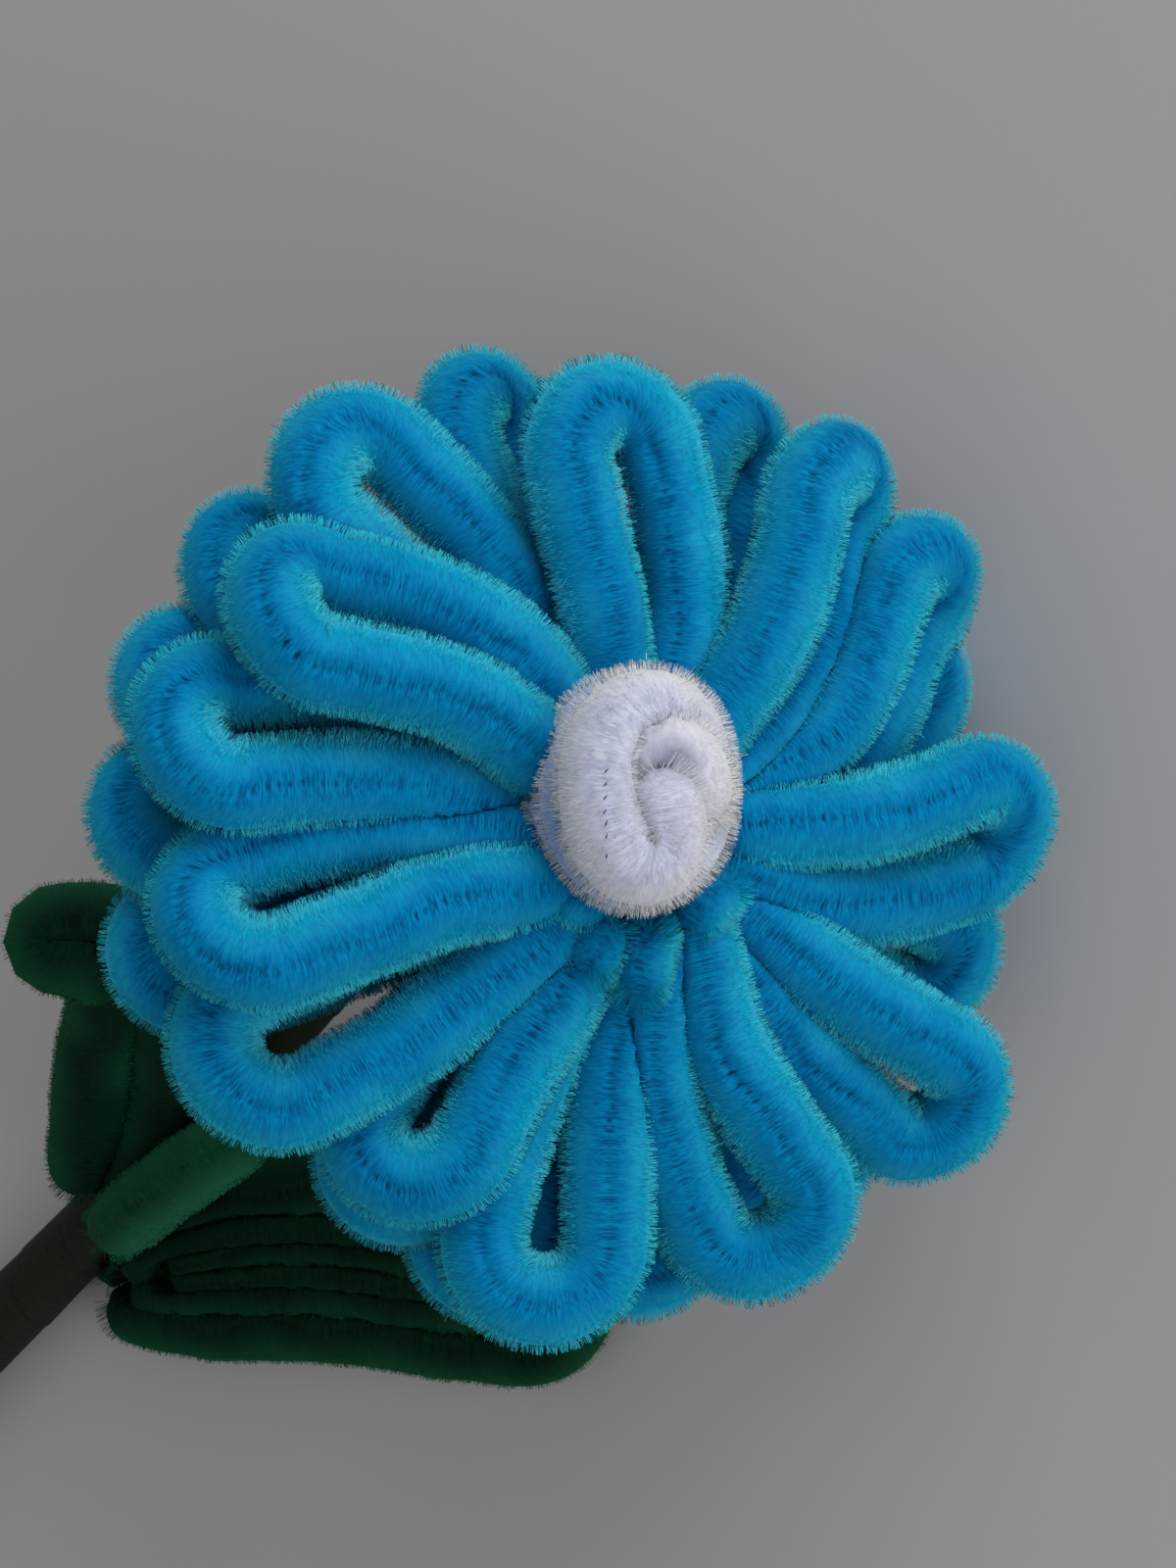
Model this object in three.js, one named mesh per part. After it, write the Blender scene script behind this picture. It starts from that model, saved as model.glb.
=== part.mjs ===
// A handmade flower of chenille stems, lying on a surface and propped on its own petals.
// Two rings of hairpin petals stand round a hub, a white strand is coiled on its face, and a
// wrapped stem leaves its back, runs down to the surface and carries three looped leaves.
// Millimetres, +Z up; the stem runs toward +Y and the face looks toward -Y and up.

import * as THREE from 'three';

// Driving dimensions.
const PACKED_RADIUS = 2.2; // a 6 mm strand with its pile pressed to where it carries load
const THINNEST_RADIUS = 0.42; // a strand crushed to little more than its wire
const STRAND_GAP = 0.3; // clear space kept between neighbouring strands
const FACE_ELEVATION = 35; // degrees that the flower's face looks up from level
const HEAD_SPIN = -102.8; // degrees that the petal ring is turned about its own axis
const HUB_HEIGHT = 32.34; // hub centre above the surface, so that the lowest petal rests on it
const ORIGIN_OFFSET = [16.42, -56.77]; // hub centre measured from the middle of the outline

// Hub: the bundle of twisted strand ends that every petal springs from.
const HUB_RADIUS = 4.9;
const HUB_TOP = 1.4;
const HUB_BOTTOM = -8.6;
const HUB_EDGE = 0.6;
const ROOT_RADIUS = 5.3; // petal ends stand this far from the head's axis
const ROOT_HALF_WIDTH = 0.75; // half the space between the two ends of one petal

// Petals, listed anticlockwise. Each row holds: angle of the tip, reach of the strand's middle,
// half width, flare of the legs, roll, height of the tip, arch, sideways sweep, height of the root.
const FRONT_PETALS = [
  [1.5, 30.3, 4.0, 2.0, 30, -1.5, 1.0, -1.7, 1.6],
  [36.5, 31.2, 4.0, 1.8, 42, -2.5, 0.0, -4.4, 0.0],
  [57, 30.0, 4.1, 2.2, 42, 0.5, 1.0, -2.2, 1.6],
  [93, 29.3, 4.1, 2.8, 12, 0.5, 1.0, -1.2, 0.4],
  [127.5, 33.2, 4.0, 1.6, 15, -2.8, 0.0, -1.6, -1.5],
  [148, 31.3, 4.0, 2.2, 35, 2.8, 2.2, -2.8, 1.6],
  [166, 33.0, 4.0, 2.2, 30, 0.0, 0.5, -2.6, 0.0],
  [189, 31.2, 4.0, 1.8, 35, 1.0, 1.0, -1.2, 2.2],
  [208, 31.7, 4.2, 1.8, 15, -2.0, 0.5, 0.0, 1.2],
  [232, 27.3, 3.9, 1.5, 35, -1.5, 0.5, -0.8, 0.2],
  [258, 31.2, 4.3, 1.2, 12, -1.0, 0.5, -0.8, -0.8],
  [291.5, 30.2, 4.1, 1.3, 25, -0.5, 1.0, -2.0, 1.6],
  [322.5, 32.3, 3.7, 1.1, 30, -1.5, 1.0, -0.7, 0.0],
];
const FRONT_FIRST_ROOT = -1.8; // angle of the first front petal's root
const BACK_PETALS = [
  [-17, 31.3, 3.6, 1.4, 32, -9.0, 0, 0, -5.5],
  [22, 30.3, 3.6, 1.4, 20, -9.6, 0, 0, -5.5],
  [66, 31.5, 3.6, 1.4, 32, -9.0, 0, 0, -5.5],
  [103, 31.2, 3.6, 1.4, 32, -9.0, 0, 0, -5.5],
  [142, 31.6, 3.6, 1.4, 32, -9.0, 0, 0, -5.5],
  [160, 31.8, 3.8, 1.4, 32, -9.0, 0, 0, -5.5],
  [177, 31.7, 3.8, 1.4, 32, -9.0, 0, 0, -5.5],
  [195, 31.3, 3.6, 1.4, 32, -9.0, 0, 0, -5.5],
  [240, 27.8, 3.4, 1.4, 40, -9.0, 0, 0, -5.5],
  [258, 30.5, 3.6, 1.4, 38, -8.5, 0, 0, -5.5],
  [280, 30.6, 3.6, 1.4, 32, -9.0, 0, 0, -5.5],
  [308, 30.3, 3.6, 1.4, 32, -9.0, 0, 0, -5.5],
];
const BACK_FIRST_ROOT = -6;

// White centre: one strand wound up into tiers, its end hooked in to fill the middle.
const COIL_AXIS = [-3.1, 3.4]; // the coil sits to one side of the head's axis
const COIL_RADII = [3.4, 4.9]; // the top turn is a little longer one way
const COIL_NARROW = 0.88; // size of the first turn beside the top one
const COIL_BOTTOM = 3.2;
const COIL_PITCH = 3.2; // rise of each turn
const COIL_START = 80; // degrees
const COIL_SWEEP = 868; // degrees wound before the end turns in
const COIL_HOOK = 0.88; // share of the strand after which it turns in
const HOOK_SWEEP = 58; // degrees round the axis that the hooked end still goes
const HOOK_SHRINK = 0.82; // share of the coil's size that the hooked end gives up
const HOOK_EASE = 1.8; // how gently it leaves the top turn
const HOOK_RISE = 0.8;
const COIL_PACKED_RADIUS = 1.4;

// Stem, from the back of the hub to its cut end: points of its middle line, with heights above
// the surface, where the tape then rests.
const STEM_ROUTE = [
  [0, 16.4, 20.8],
  [-4.5, 32, 10.4],
  [-14.5, 50, 4.2],
  [-28, 71.7, 2.4],
  [-46, 101, 2.2],
  [-65, 132, 2.1],
];
const STEM_START = HUB_BOTTOM - 0.4; // on the head's axis, just clear of the hub
const TAPE_START = HUB_BOTTOM - 0.9;
const WIRE_RADIUS = 1.1;
const TAPE_BORE = 1.4;
const TAPE_RADIUS = 2.2;
const TAPE_SWELL = 0.8; // extra where the leaf ends are wrapped in
const SWELL_PLACE = 0.6; // share of the stem's length
const SWELL_SPREAD = 0.2;

// Leaves: hairpin loops on a middle line, with the way each leaf faces.
// A loop holds: share of the middle line it reaches, half width at its tip, flare of the legs,
// how far along the leaf its ends lie, and how far the legs bulge out between ends and tip.
const LEAVES = [
  {
    name: 'large_leaf',
    route: [[-33.4, 72.5, 2.3], [-32.4, 63, 2.3], [-32.6, 52, 2.3], [-34.8, 40, 2.3], [-36.6, 29.5, 2.3]],
    facing: [0, 0, 1],
    loops: [[1, 5.4, 6, 0.25, 0], [0.94, 2.75, 6, 2.6, 0], [0.87, 0.95, 2, 7, 0]],
  },
  {
    name: 'curled_leaf',
    route: [
      [-24.4, 67.6, 7.0], [-20.2, 62.9, 9.4], [-13.3, 56.3, 14.5], [-7.3, 50.4, 20.5],
      [-3.4, 48.2, 25], [-1.8, 50.3, 28.2], [-1.7, 51.5, 28.8],
    ],
    facing: [0.094, -0.505, 0.858],
    loops: [[1, 1, 4, 0, 2.1]],
  },
  {
    name: 'small_leaf',
    route: [[-27.9, 67.6, 6.15], [-25.2, 61.5, 9], [-20.9, 50.5, 13.2]],
    facing: [0.93, 0.35, 0.05],
    loops: [[1, 1.7, 2, 0, 0]],
  },
];

// Facets.
const SIDES = 7;
const HAIRPIN_STEPS = 24;
const COIL_STEPS = 54;
const STEM_STEPS = 30;
const STEM_SIDES = 10;
const LEG_SHARE = 1 / 3; // share of a hairpin's steps spent on each leg
const BULGE_SKEW = 0.6; // below 1, a bulge is widest nearer the ends than the tip
const FINE = 4; // samples per step when the space round a strand is measured
const SEED_RADIUS = 0.05; // section that is grown to each step's own radius

const BLUE = { color: 0x0a86c8, roughness: 0.95, metalness: 0 };
const DEEP_BLUE = { color: 0x0668b4, roughness: 0.95, metalness: 0 };
const WHITE = { color: 0xd9d9ee, roughness: 0.95, metalness: 0 };
const GREEN = { color: 0x123f26, roughness: 0.95, metalness: 0 };
const OLIVE = { color: 0x4a5540, roughness: 0.75, metalness: 0 };
const STEEL = { color: 0x9aa0a4, roughness: 0.4, metalness: 1 };

const radians = THREE.MathUtils.degToRad;
const vector = (values) => new THREE.Vector3(...values);

// A middle line whose points come from a function of 0..1, spaced as that function spaces them.
class Strand extends THREE.Curve {
  constructor(pointAt) {
    super();
    this.pointAt = pointAt;
  }

  getPoint(share, target = new THREE.Vector3()) {
    return target.copy(this.pointAt(share));
  }

  getUtoTmapping(share) {
    return share;
  }
}

// Flat hairpin: out along one leg, round a half-circle tip and back along the other leg.
function hairpin(share, start, reach, halfWidth, flare, bulge = 0) {
  const bend = reach - halfWidth;
  const run = Math.min(share, 1 - share) / LEG_SHARE;
  if (run < 1) {
    const spread = 1 - (1 - run) ** flare;
    const swell = bulge * Math.sin(Math.PI * run ** BULGE_SKEW);
    const across = ROOT_HALF_WIDTH + (halfWidth - ROOT_HALF_WIDTH) * spread + swell;
    return { along: start + (bend - start) * run, across: share < 0.5 ? across : -across, run };
  }
  const angle = Math.PI * (0.5 - (share - LEG_SHARE) / (1 - 2 * LEG_SHARE));
  return { along: bend + halfWidth * Math.cos(angle), across: halfWidth * Math.sin(angle), run: 1 };
}

// One petal's middle line in the head's frame, +Z out of the face.
function petalStrand(row, rootAngle) {
  const [tipAngle, reach, halfWidth, flare, roll, tipHeight, arch, sweep, rootHeight] = row;
  const rootOffset = ROOT_RADIUS * Math.sin(radians(rootAngle - tipAngle));
  return new Strand((share) => {
    const { along, across, run } = hairpin(share, ROOT_RADIUS, reach, halfWidth, flare);
    const out = (along - ROOT_RADIUS) / (reach - ROOT_RADIUS);
    const turn = radians(roll) * Math.min(1, 0.5 + 1.2 * out);
    const aside = across * Math.cos(turn) + sweep * Math.sin(Math.PI * run) + rootOffset * (1 - run) ** 2;
    const rise = rootHeight + (tipHeight - rootHeight) * out + arch * Math.sin(Math.PI * out);
    const point = new THREE.Vector3(along, aside, across * Math.sin(turn) + rise);
    return point.applyAxisAngle(new THREE.Vector3(0, 0, 1), radians(tipAngle));
  });
}

function coilStrand() {
  return new Strand((share) => {
    const wound = Math.min(share / COIL_HOOK, 1);
    const hook = Math.max(0, (share - COIL_HOOK) / (1 - COIL_HOOK));
    const size = (COIL_NARROW + (1 - COIL_NARROW) * wound) * (1 - HOOK_SHRINK * hook ** HOOK_EASE);
    const angle = radians(COIL_START + COIL_SWEEP * wound + HOOK_SWEEP * (1 - (1 - hook) ** 2));
    const rise = ((COIL_PITCH * COIL_SWEEP) / 360) * wound + HOOK_RISE * hook;
    const [axisX, axisY] = COIL_AXIS;
    const x = axisX + COIL_RADII[0] * size * Math.cos(angle);
    const y = axisY + COIL_RADII[1] * size * Math.sin(angle);
    return new THREE.Vector3(x, y, COIL_BOTTOM + rise);
  });
}

// One leaf loop: a hairpin laid along the leaf's middle line and across the way it faces.
function leafStrand(leaf, [share, halfWidth, flare, start, bulge]) {
  const middle = new THREE.CatmullRomCurve3(leaf.route.map(vector), false, 'centripetal');
  const facing = vector(leaf.facing).normalize();
  const length = middle.getLength();
  const reach = length * share;
  return new Strand((place) => {
    const { along, across } = hairpin(place, start, reach, halfWidth, flare, bulge);
    const side = middle.getTangentAt(along / length).cross(facing).normalize();
    return middle.getPointAt(along / length).addScaledVector(side, across);
  });
}

// The largest radius that every step of each strand can have without touching its neighbours:
// where strands press together the pile is squeezed.
function packedRadii(strands, fixedStrands = []) {
  const samples = strands.map(({ curve, steps }) => curve.getPoints(steps * FINE));
  const fixed = fixedStrands.map(({ curve, radiusAt }) => ({
    points: curve.getPoints(STEM_STEPS * FINE),
    radiusAt,
  }));
  const room = (index, place) => {
    const { fullRadius, ownReach } = strands[index];
    const point = samples[index][place];
    let limit = fullRadius;
    samples.forEach((line, other) => {
      line.forEach((neighbour, spot) => {
        const apart = Math.abs(spot - place) / (line.length - 1);
        if (other === index && apart < ownReach) return;
        limit = Math.min(limit, (point.distanceTo(neighbour) - STRAND_GAP) / 2);
      });
    });
    for (const { points, radiusAt } of fixed) {
      points.forEach((neighbour, spot) => {
        const clear = point.distanceTo(neighbour) - radiusAt(spot / (points.length - 1)) - STRAND_GAP;
        limit = Math.min(limit, clear);
      });
    }
    return limit;
  };
  return strands.map(({ steps }, index) => {
    const rooms = samples[index].map((_, place) => room(index, place));
    return Array.from({ length: steps + 1 }, (_, step) => {
      const near = rooms.slice(Math.max(0, (step - 1) * FINE), (step + 1) * FINE + 1);
      return Math.max(THINNEST_RADIUS, Math.min(...near));
    });
  });
}

// A closed tube along a curve, with its own radius at each step and, where asked, a bore.
function tube(curve, steps, sides, radii, bore = 0) {
  const ring = (radius) => Array.from({ length: sides }, (_, side) => {
    const angle = (2 * Math.PI * side) / sides;
    return new THREE.Vector2(radius * Math.cos(angle), radius * Math.sin(angle));
  });
  const section = new THREE.Shape(ring(SEED_RADIUS));
  if (bore > 0) section.holes.push(new THREE.Path(ring(SEED_RADIUS / 2)));
  const geometry = new THREE.ExtrudeGeometry(section, { steps, bevelEnabled: false, extrudePath: curve });
  const centres = curve.getSpacedPoints(steps);
  const position = geometry.getAttribute('position');
  const point = new THREE.Vector3();
  for (let index = 0; index < position.count; index += 1) {
    point.fromBufferAttribute(position, index);
    const distances = centres.map((centre) => centre.distanceToSquared(point));
    const step = distances.indexOf(Math.min(...distances));
    point.sub(centres[step]);
    const inBore = point.length() < SEED_RADIUS * 0.75;
    point.setLength(inBore ? bore : radii[step]).add(centres[step]);
    position.setXYZ(index, point.x, point.y, point.z);
  }
  geometry.computeVertexNormals();
  return geometry;
}

function mesh(name, geometry, look) {
  const piece = new THREE.Mesh(geometry, new THREE.MeshStandardMaterial(look));
  piece.name = name;
  return piece;
}

function strandMeshes(strands, fixedStrands) {
  const radii = packedRadii(strands, fixedStrands);
  return strands.map(({ name, curve, steps, look }, index) => (
    mesh(name, tube(curve, steps, SIDES, radii[index]), look)
  ));
}

function petalRing(prefix, rows, firstRoot, look) {
  return rows.map((row, index) => ({
    name: `${prefix}_${String(index + 1).padStart(2, '0')}`,
    curve: petalStrand(row, firstRoot + (360 / rows.length) * index),
    steps: HAIRPIN_STEPS,
    fullRadius: PACKED_RADIUS,
    ownReach: 0.3,
    look,
  }));
}

function hub() {
  const edge = (x, y, from) => new THREE.Path().absarc(x, y, HUB_EDGE, radians(from), radians(from + 90));
  const lowEdge = edge(HUB_RADIUS - HUB_EDGE, HUB_BOTTOM + HUB_EDGE, -90).getPoints(3);
  const highEdge = edge(HUB_RADIUS - HUB_EDGE, HUB_TOP - HUB_EDGE, 0).getPoints(3);
  const ends = [new THREE.Vector2(0, HUB_BOTTOM), new THREE.Vector2(0, HUB_TOP)];
  const profile = [ends[0], ...lowEdge, ...highEdge, ends[1]];
  const geometry = new THREE.LatheGeometry(profile, 20);
  geometry.rotateX(Math.PI / 2);
  return mesh('hub', geometry, DEEP_BLUE);
}

function head() {
  const coil = {
    name: 'centre_coil',
    curve: coilStrand(),
    steps: COIL_STEPS,
    fullRadius: COIL_PACKED_RADIUS,
    ownReach: 0.25,
    look: WHITE,
  };
  const strands = [
    ...petalRing('front_petal', FRONT_PETALS, FRONT_FIRST_ROOT, BLUE),
    ...petalRing('back_petal', BACK_PETALS, BACK_FIRST_ROOT, DEEP_BLUE),
    coil,
  ];
  const group = new THREE.Group();
  group.add(hub(), ...strandMeshes(strands));
  group.rotation.set(radians(90 - FACE_ELEVATION), 0, radians(HEAD_SPIN));
  return group;
}

// The stem's middle line from a height on the head's axis to the cut end, shortened by endGap.
// Where the route would sink into the surface, the tape rests on it instead.
function stemCurve(start, endGap) {
  const back = new THREE.Vector3(0, -Math.cos(radians(FACE_ELEVATION)), Math.sin(radians(FACE_ELEVATION)));
  const first = back.multiplyScalar(start).add(new THREE.Vector3(0, 0, HUB_HEIGHT));
  const points = [first, ...STEM_ROUTE.map(vector)];
  const last = points[points.length - 1];
  const inward = points[points.length - 2].clone().sub(last).normalize();
  last.addScaledVector(inward, endGap);
  const route = new THREE.CatmullRomCurve3(points, false, 'centripetal');
  return new Strand((share) => {
    const point = route.getPointAt(share);
    point.z = Math.max(point.z, tapeRadius(share));
    return point;
  });
}

function tapeRadius(share) {
  return TAPE_RADIUS + TAPE_SWELL * Math.exp(-(((share - SWELL_PLACE) / SWELL_SPREAD) ** 2));
}

function stem() {
  const tape = stemCurve(TAPE_START, 1.5);
  const radii = Array.from({ length: STEM_STEPS + 1 }, (_, step) => tapeRadius(step / STEM_STEPS));
  const wireRadii = new Array(STEM_STEPS + 1).fill(WIRE_RADIUS);
  const pieces = [
    mesh('stem_tape', tube(tape, STEM_STEPS, STEM_SIDES, radii, TAPE_BORE), OLIVE),
    mesh('stem_wire', tube(stemCurve(STEM_START, 0), STEM_STEPS, STEM_SIDES, wireRadii), STEEL),
  ];
  return { pieces, tape };
}

function leaves(tape) {
  const strands = LEAVES.flatMap((leaf) => leaf.loops.map((loop, index) => ({
    name: leaf.loops.length > 1 ? `${leaf.name}_${index + 1}` : leaf.name,
    curve: leafStrand(leaf, loop),
    steps: HAIRPIN_STEPS,
    fullRadius: PACKED_RADIUS,
    ownReach: 0.3,
    look: GREEN,
  })));
  return strandMeshes(strands, [{ curve: tape, radiusAt: tapeRadius }]);
}

const flower = new THREE.Group();
const raisedHead = head();
raisedHead.position.set(0, 0, HUB_HEIGHT);
const { pieces: stemPieces, tape } = stem();
flower.add(raisedHead, ...stemPieces, ...leaves(tape));
flower.position.set(ORIGIN_OFFSET[0], ORIGIN_OFFSET[1], 0);

export default flower;
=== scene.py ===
"""A handmade flower bent from chenille stems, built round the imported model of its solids.

Every fuzzy strand is made as the real one is: pile gathered on two twisted wires. Its middle line
repeats the one that its solid follows, and where strands press together their pile meets halfway.
"""

import math
from types import SimpleNamespace

import bpy
import numpy as np
from mathutils import Matrix, Vector


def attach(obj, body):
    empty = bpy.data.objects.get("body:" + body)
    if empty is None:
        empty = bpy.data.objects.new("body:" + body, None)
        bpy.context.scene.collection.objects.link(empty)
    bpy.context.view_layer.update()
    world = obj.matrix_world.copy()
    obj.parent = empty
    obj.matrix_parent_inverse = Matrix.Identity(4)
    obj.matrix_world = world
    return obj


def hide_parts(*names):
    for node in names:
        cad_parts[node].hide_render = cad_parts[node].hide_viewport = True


bl_info = {
    "name": "Chenille Flower",
    "version": (1, 0, 0),
    "blender": (4, 5, 0),
    "location": "View3D > Sidebar > Flower",
    "description": "Builds a flower of looped chenille stems, its taped stem and its studio",
    "category": "Add Mesh",
}

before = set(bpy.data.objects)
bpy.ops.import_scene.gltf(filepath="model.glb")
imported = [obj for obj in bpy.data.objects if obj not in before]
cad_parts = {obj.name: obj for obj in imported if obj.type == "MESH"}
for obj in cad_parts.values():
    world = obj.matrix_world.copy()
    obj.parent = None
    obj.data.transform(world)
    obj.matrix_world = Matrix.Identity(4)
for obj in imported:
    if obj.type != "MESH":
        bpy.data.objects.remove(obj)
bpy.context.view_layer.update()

MM = 0.001

# The head's place: its hub's centre above the surface, how far its face looks up, and its turn.
HUB_PLACE = np.array([16.42, -56.77, 32.34])
FACE_ELEVATION = 35.0
HEAD_SPIN = -102.8

# Camera of the photograph: its own axes in the row frame, and its distance from the hub's centre.
CAMERA_RIGHT = np.array([-0.2007, -0.8530, -0.4810])
CAMERA_UP = np.array([0.9748, -0.1270, -0.1815])
CAMERA_BACK = np.array([0.0937, -0.5050, 0.8580])
CAMERA_FROM_HUB = np.array([35.2, -165.2, 283.5])
CAMERA_LENS = 113.6
LAMP_DISTANCE = 0.8  # metres
FLOOR_WIDTH = 3.0

ROOT_RADIUS = 5.3
ROOT_HALF_WIDTH = 0.75
LEG_SHARE = 1 / 3

# Petals, anticlockwise: angle of the tip, reach, half width, flare of the legs, roll, height of
# the tip, arch, sideways sweep, height of the root.
FRONT_PETALS = [
    (1.5, 30.3, 4.0, 2.0, 30, -1.5, 1.0, -1.7, 1.6),
    (36.5, 31.2, 4.0, 1.8, 42, -2.5, 0.0, -4.4, 0.0),
    (57, 30.0, 4.1, 2.2, 42, 0.5, 1.0, -2.2, 1.6),
    (93, 29.3, 4.1, 2.8, 12, 0.5, 1.0, -1.2, 0.4),
    (127.5, 33.2, 4.0, 1.6, 15, -2.8, 0.0, -1.6, -1.5),
    (148, 31.3, 4.0, 2.2, 35, 2.8, 2.2, -2.8, 1.6),
    (166, 33.0, 4.0, 2.2, 30, 0.0, 0.5, -2.6, 0.0),
    (189, 31.2, 4.0, 1.8, 35, 1.0, 1.0, -1.2, 2.2),
    (208, 31.7, 4.2, 1.8, 15, -2.0, 0.5, 0.0, 1.2),
    (232, 27.3, 3.9, 1.5, 35, -1.5, 0.5, -0.8, 0.2),
    (258, 31.2, 4.3, 1.2, 12, -1.0, 0.5, -0.8, -0.8),
    (291.5, 30.2, 4.1, 1.3, 25, -0.5, 1.0, -2.0, 1.6),
    (322.5, 32.3, 3.7, 1.1, 30, -1.5, 1.0, -0.7, 0.0),
]
FRONT_FIRST_ROOT = -1.8
BACK_PETALS = [
    (-17, 31.3, 3.6, 1.4, 32, -9.0, 0, 0, -5.5),
    (22, 30.3, 3.6, 1.4, 20, -9.6, 0, 0, -5.5),
    (66, 31.5, 3.6, 1.4, 32, -9.0, 0, 0, -5.5),
    (103, 31.2, 3.6, 1.4, 32, -9.0, 0, 0, -5.5),
    (142, 31.6, 3.6, 1.4, 32, -9.0, 0, 0, -5.5),
    (160, 31.8, 3.8, 1.4, 32, -9.0, 0, 0, -5.5),
    (177, 31.7, 3.8, 1.4, 32, -9.0, 0, 0, -5.5),
    (195, 31.3, 3.6, 1.4, 32, -9.0, 0, 0, -5.5),
    (240, 27.8, 3.4, 1.4, 40, -9.0, 0, 0, -5.5),
    (258, 30.5, 3.6, 1.4, 38, -8.5, 0, 0, -5.5),
    (280, 30.6, 3.6, 1.4, 32, -9.0, 0, 0, -5.5),
    (308, 30.3, 3.6, 1.4, 32, -9.0, 0, 0, -5.5),
]
BACK_FIRST_ROOT = -6.0

# White centre: where the coil's axis stands, its two radii, how it rises, and how its end turns in.
COIL_AXIS = (-3.1, 3.4)
COIL_RADII = (3.4, 4.9)
COIL_NARROW = 0.88
COIL_BOTTOM = 3.2
COIL_PITCH = 3.2
COIL_START = 80.0
COIL_SWEEP = 868.0
COIL_HOOK = 0.88
HOOK_SWEEP = 58.0
HOOK_SHRINK = 0.82
HOOK_EASE = 1.8
HOOK_RISE = 0.8
PILE_PAST_END = 2.3  # how far the pile stands past the cut end of its wires

# Pile that fills the middle of the coil, from its foot to just under the top turn's crown.
CENTRE_FILLING = [
    (-4.5, 4.2, 10.3), (-3.4, 5.6, 11.1), (-1.7, 5.3, 11.3), (-0.9, 3.6, 11.3), (-0.9, 1.4, 10.8),
]

# Where the coil's wires show through its pile: place along it and angle round it.
CENTRE_BARE = [
    (55.7, -0.1), (56.4, -0.05), (57.1, 0.04), (57.8, 0.08), (58.4, 0.12), (59.0, 0.19), (59.8, 0.33),
]

# The hub's short strand ends: how many, how far from the axis at the back and at the top, how far
# they are twisted, and their pile beside a petal's.
HUB_ENDS = 12
HUB_SPREAD = (1.3, 3.9)
HUB_TWIST = 55.0
HUB_GIRTH = 0.55
# Ends that come up through the face below the white centre.
FACE_TUFTS = [
    [(-6.3, -4.9, 1.5), (-7.4, -3.2, 3.4), (-8.3, -1.9, 3.5)],
    [(-7.6, -2.9, 2.5), (-5.7, -3.5, 4.0), (-3.4, -4.3, 3.6)],
    [(-0.5, -9.9, 3.0), (-0.6, -7.5, 4.2), (-0.1, -5.6, 4.0)],
    [(-3.9, -8.4, 2.5), (-3.7, -6.6, 3.8), (-2.6, -5.4, 3.6)],
    [(6.2, -3.0, 2.5), (3.7, -4.3, 3.8), (3.0, -5.8, 3.0)],
]
TUFT_GIRTH = 0.72
HUB_RADIUS = 4.9
HUB_TOP = 1.4
HUB_BOTTOM = -8.6

# The stem's middle line from the back of the hub, in millimetres from below the hub's centre.
STEM_ROUTE = [
    (0, 16.4, 20.8), (-4.5, 32, 10.4), (-14.5, 50, 4.2), (-28, 71.7, 2.4), (-46, 101, 2.2),
    (-65, 132, 2.1),
]
STEM_START = HUB_BOTTOM - 0.4
TAPE_START = HUB_BOTTOM - 0.9
TAPE_END_GAP = 1.5
TAPE_RADIUS = 2.2
TAPE_SWELL = 0.8
SWELL_PLACE = 0.6
SWELL_SPREAD = 0.2
TAPE_LAP = 7.0  # millimetres of stem that each turn of the tape covers
LAP_STEP = 0.12  # how far its edge stands above the turn below
WIRE_RADIUS = 1.1

# Leaves: middle line, the way the leaf faces, and its loops as share of the line, half width at
# the tip, flare, how far along the leaf the loop's ends lie, and how far its legs bulge out.
BULGE_SKEW = 0.6
LARGE_LEAF = (
    [(-33.4, 72.5, 2.3), (-32.4, 63, 2.3), (-32.6, 52, 2.3), (-34.8, 40, 2.3), (-36.6, 29.5, 2.3)],
    (0, 0, 1),
    [(1, 5.4, 6, 0.25, 0), (0.94, 2.75, 6, 2.6, 0), (0.87, 0.95, 2, 7, 0)],
)
CURLED_LEAF = (
    [(-24.4, 67.6, 7.0), (-20.2, 62.9, 9.4), (-13.3, 56.3, 14.5), (-7.3, 50.4, 20.5),
     (-3.4, 48.2, 25), (-1.8, 50.3, 28.2), (-1.7, 51.5, 28.8)],
    (0.094, -0.505, 0.858),
    [(1, 1, 4, 0, 2.1)],
)
SMALL_LEAF = (
    [(-27.9, 67.6, 6.15), (-25.2, 61.5, 9), (-20.9, 50.5, 13.2)],
    (0.93, 0.35, 0.05),
    [(1, 1.7, 2, 0, 0)],
)

TAPE_NUMBER = -1  # what stands in place of a strand's number for the tape and for the hub
HUB_NUMBER = -2
STEP = 0.65  # millimetres between the rings of a strand
OWN_REACH = 2.5  # a strand's own neighbours are at least this far along it
SEED = 20
END_ROUND = 2.4  # length over which the pile closes in round a cut end
TWIST = 0.75  # half the pitch of a strand's two twisted wires
COMBED = 0.5  # how far the fibres beside a parting lie over to the flank
TUFT = 0.33  # length of strand whose loose fibres gather at their tips
GROOVE_WIDTH = 0.16  # of a parting, as an angle round the strand
PRESSED_OVERLAP = 0.04  # how far two pressed strands' packed pile runs past the middle between them
THINNEST_BODY = 0.35
TIP_SPREAD = 0.055  # how unevenly the tips are cut, as a share of their reach
STRAY_SHARE = 0.004  # fibres that stand out of the rest, and by how much
STRAY_REACH = (0.2, 0.55)
LOST_SHARE = 0.6  # fibres that a neighbour presses flat and that are lost in its pile
SHORTEST_FIBRE = 0.1
WIRES_SHOWN = 0.4  # share of the wires' twists that can be seen in an open parting
WIRE_GLINT = (0.3, 0.09)  # length and width of a glimpse of wire
BARE_GLINT = (0.5, 0.13)
TUFT_GLINT = (1.3, 0.22)


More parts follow.
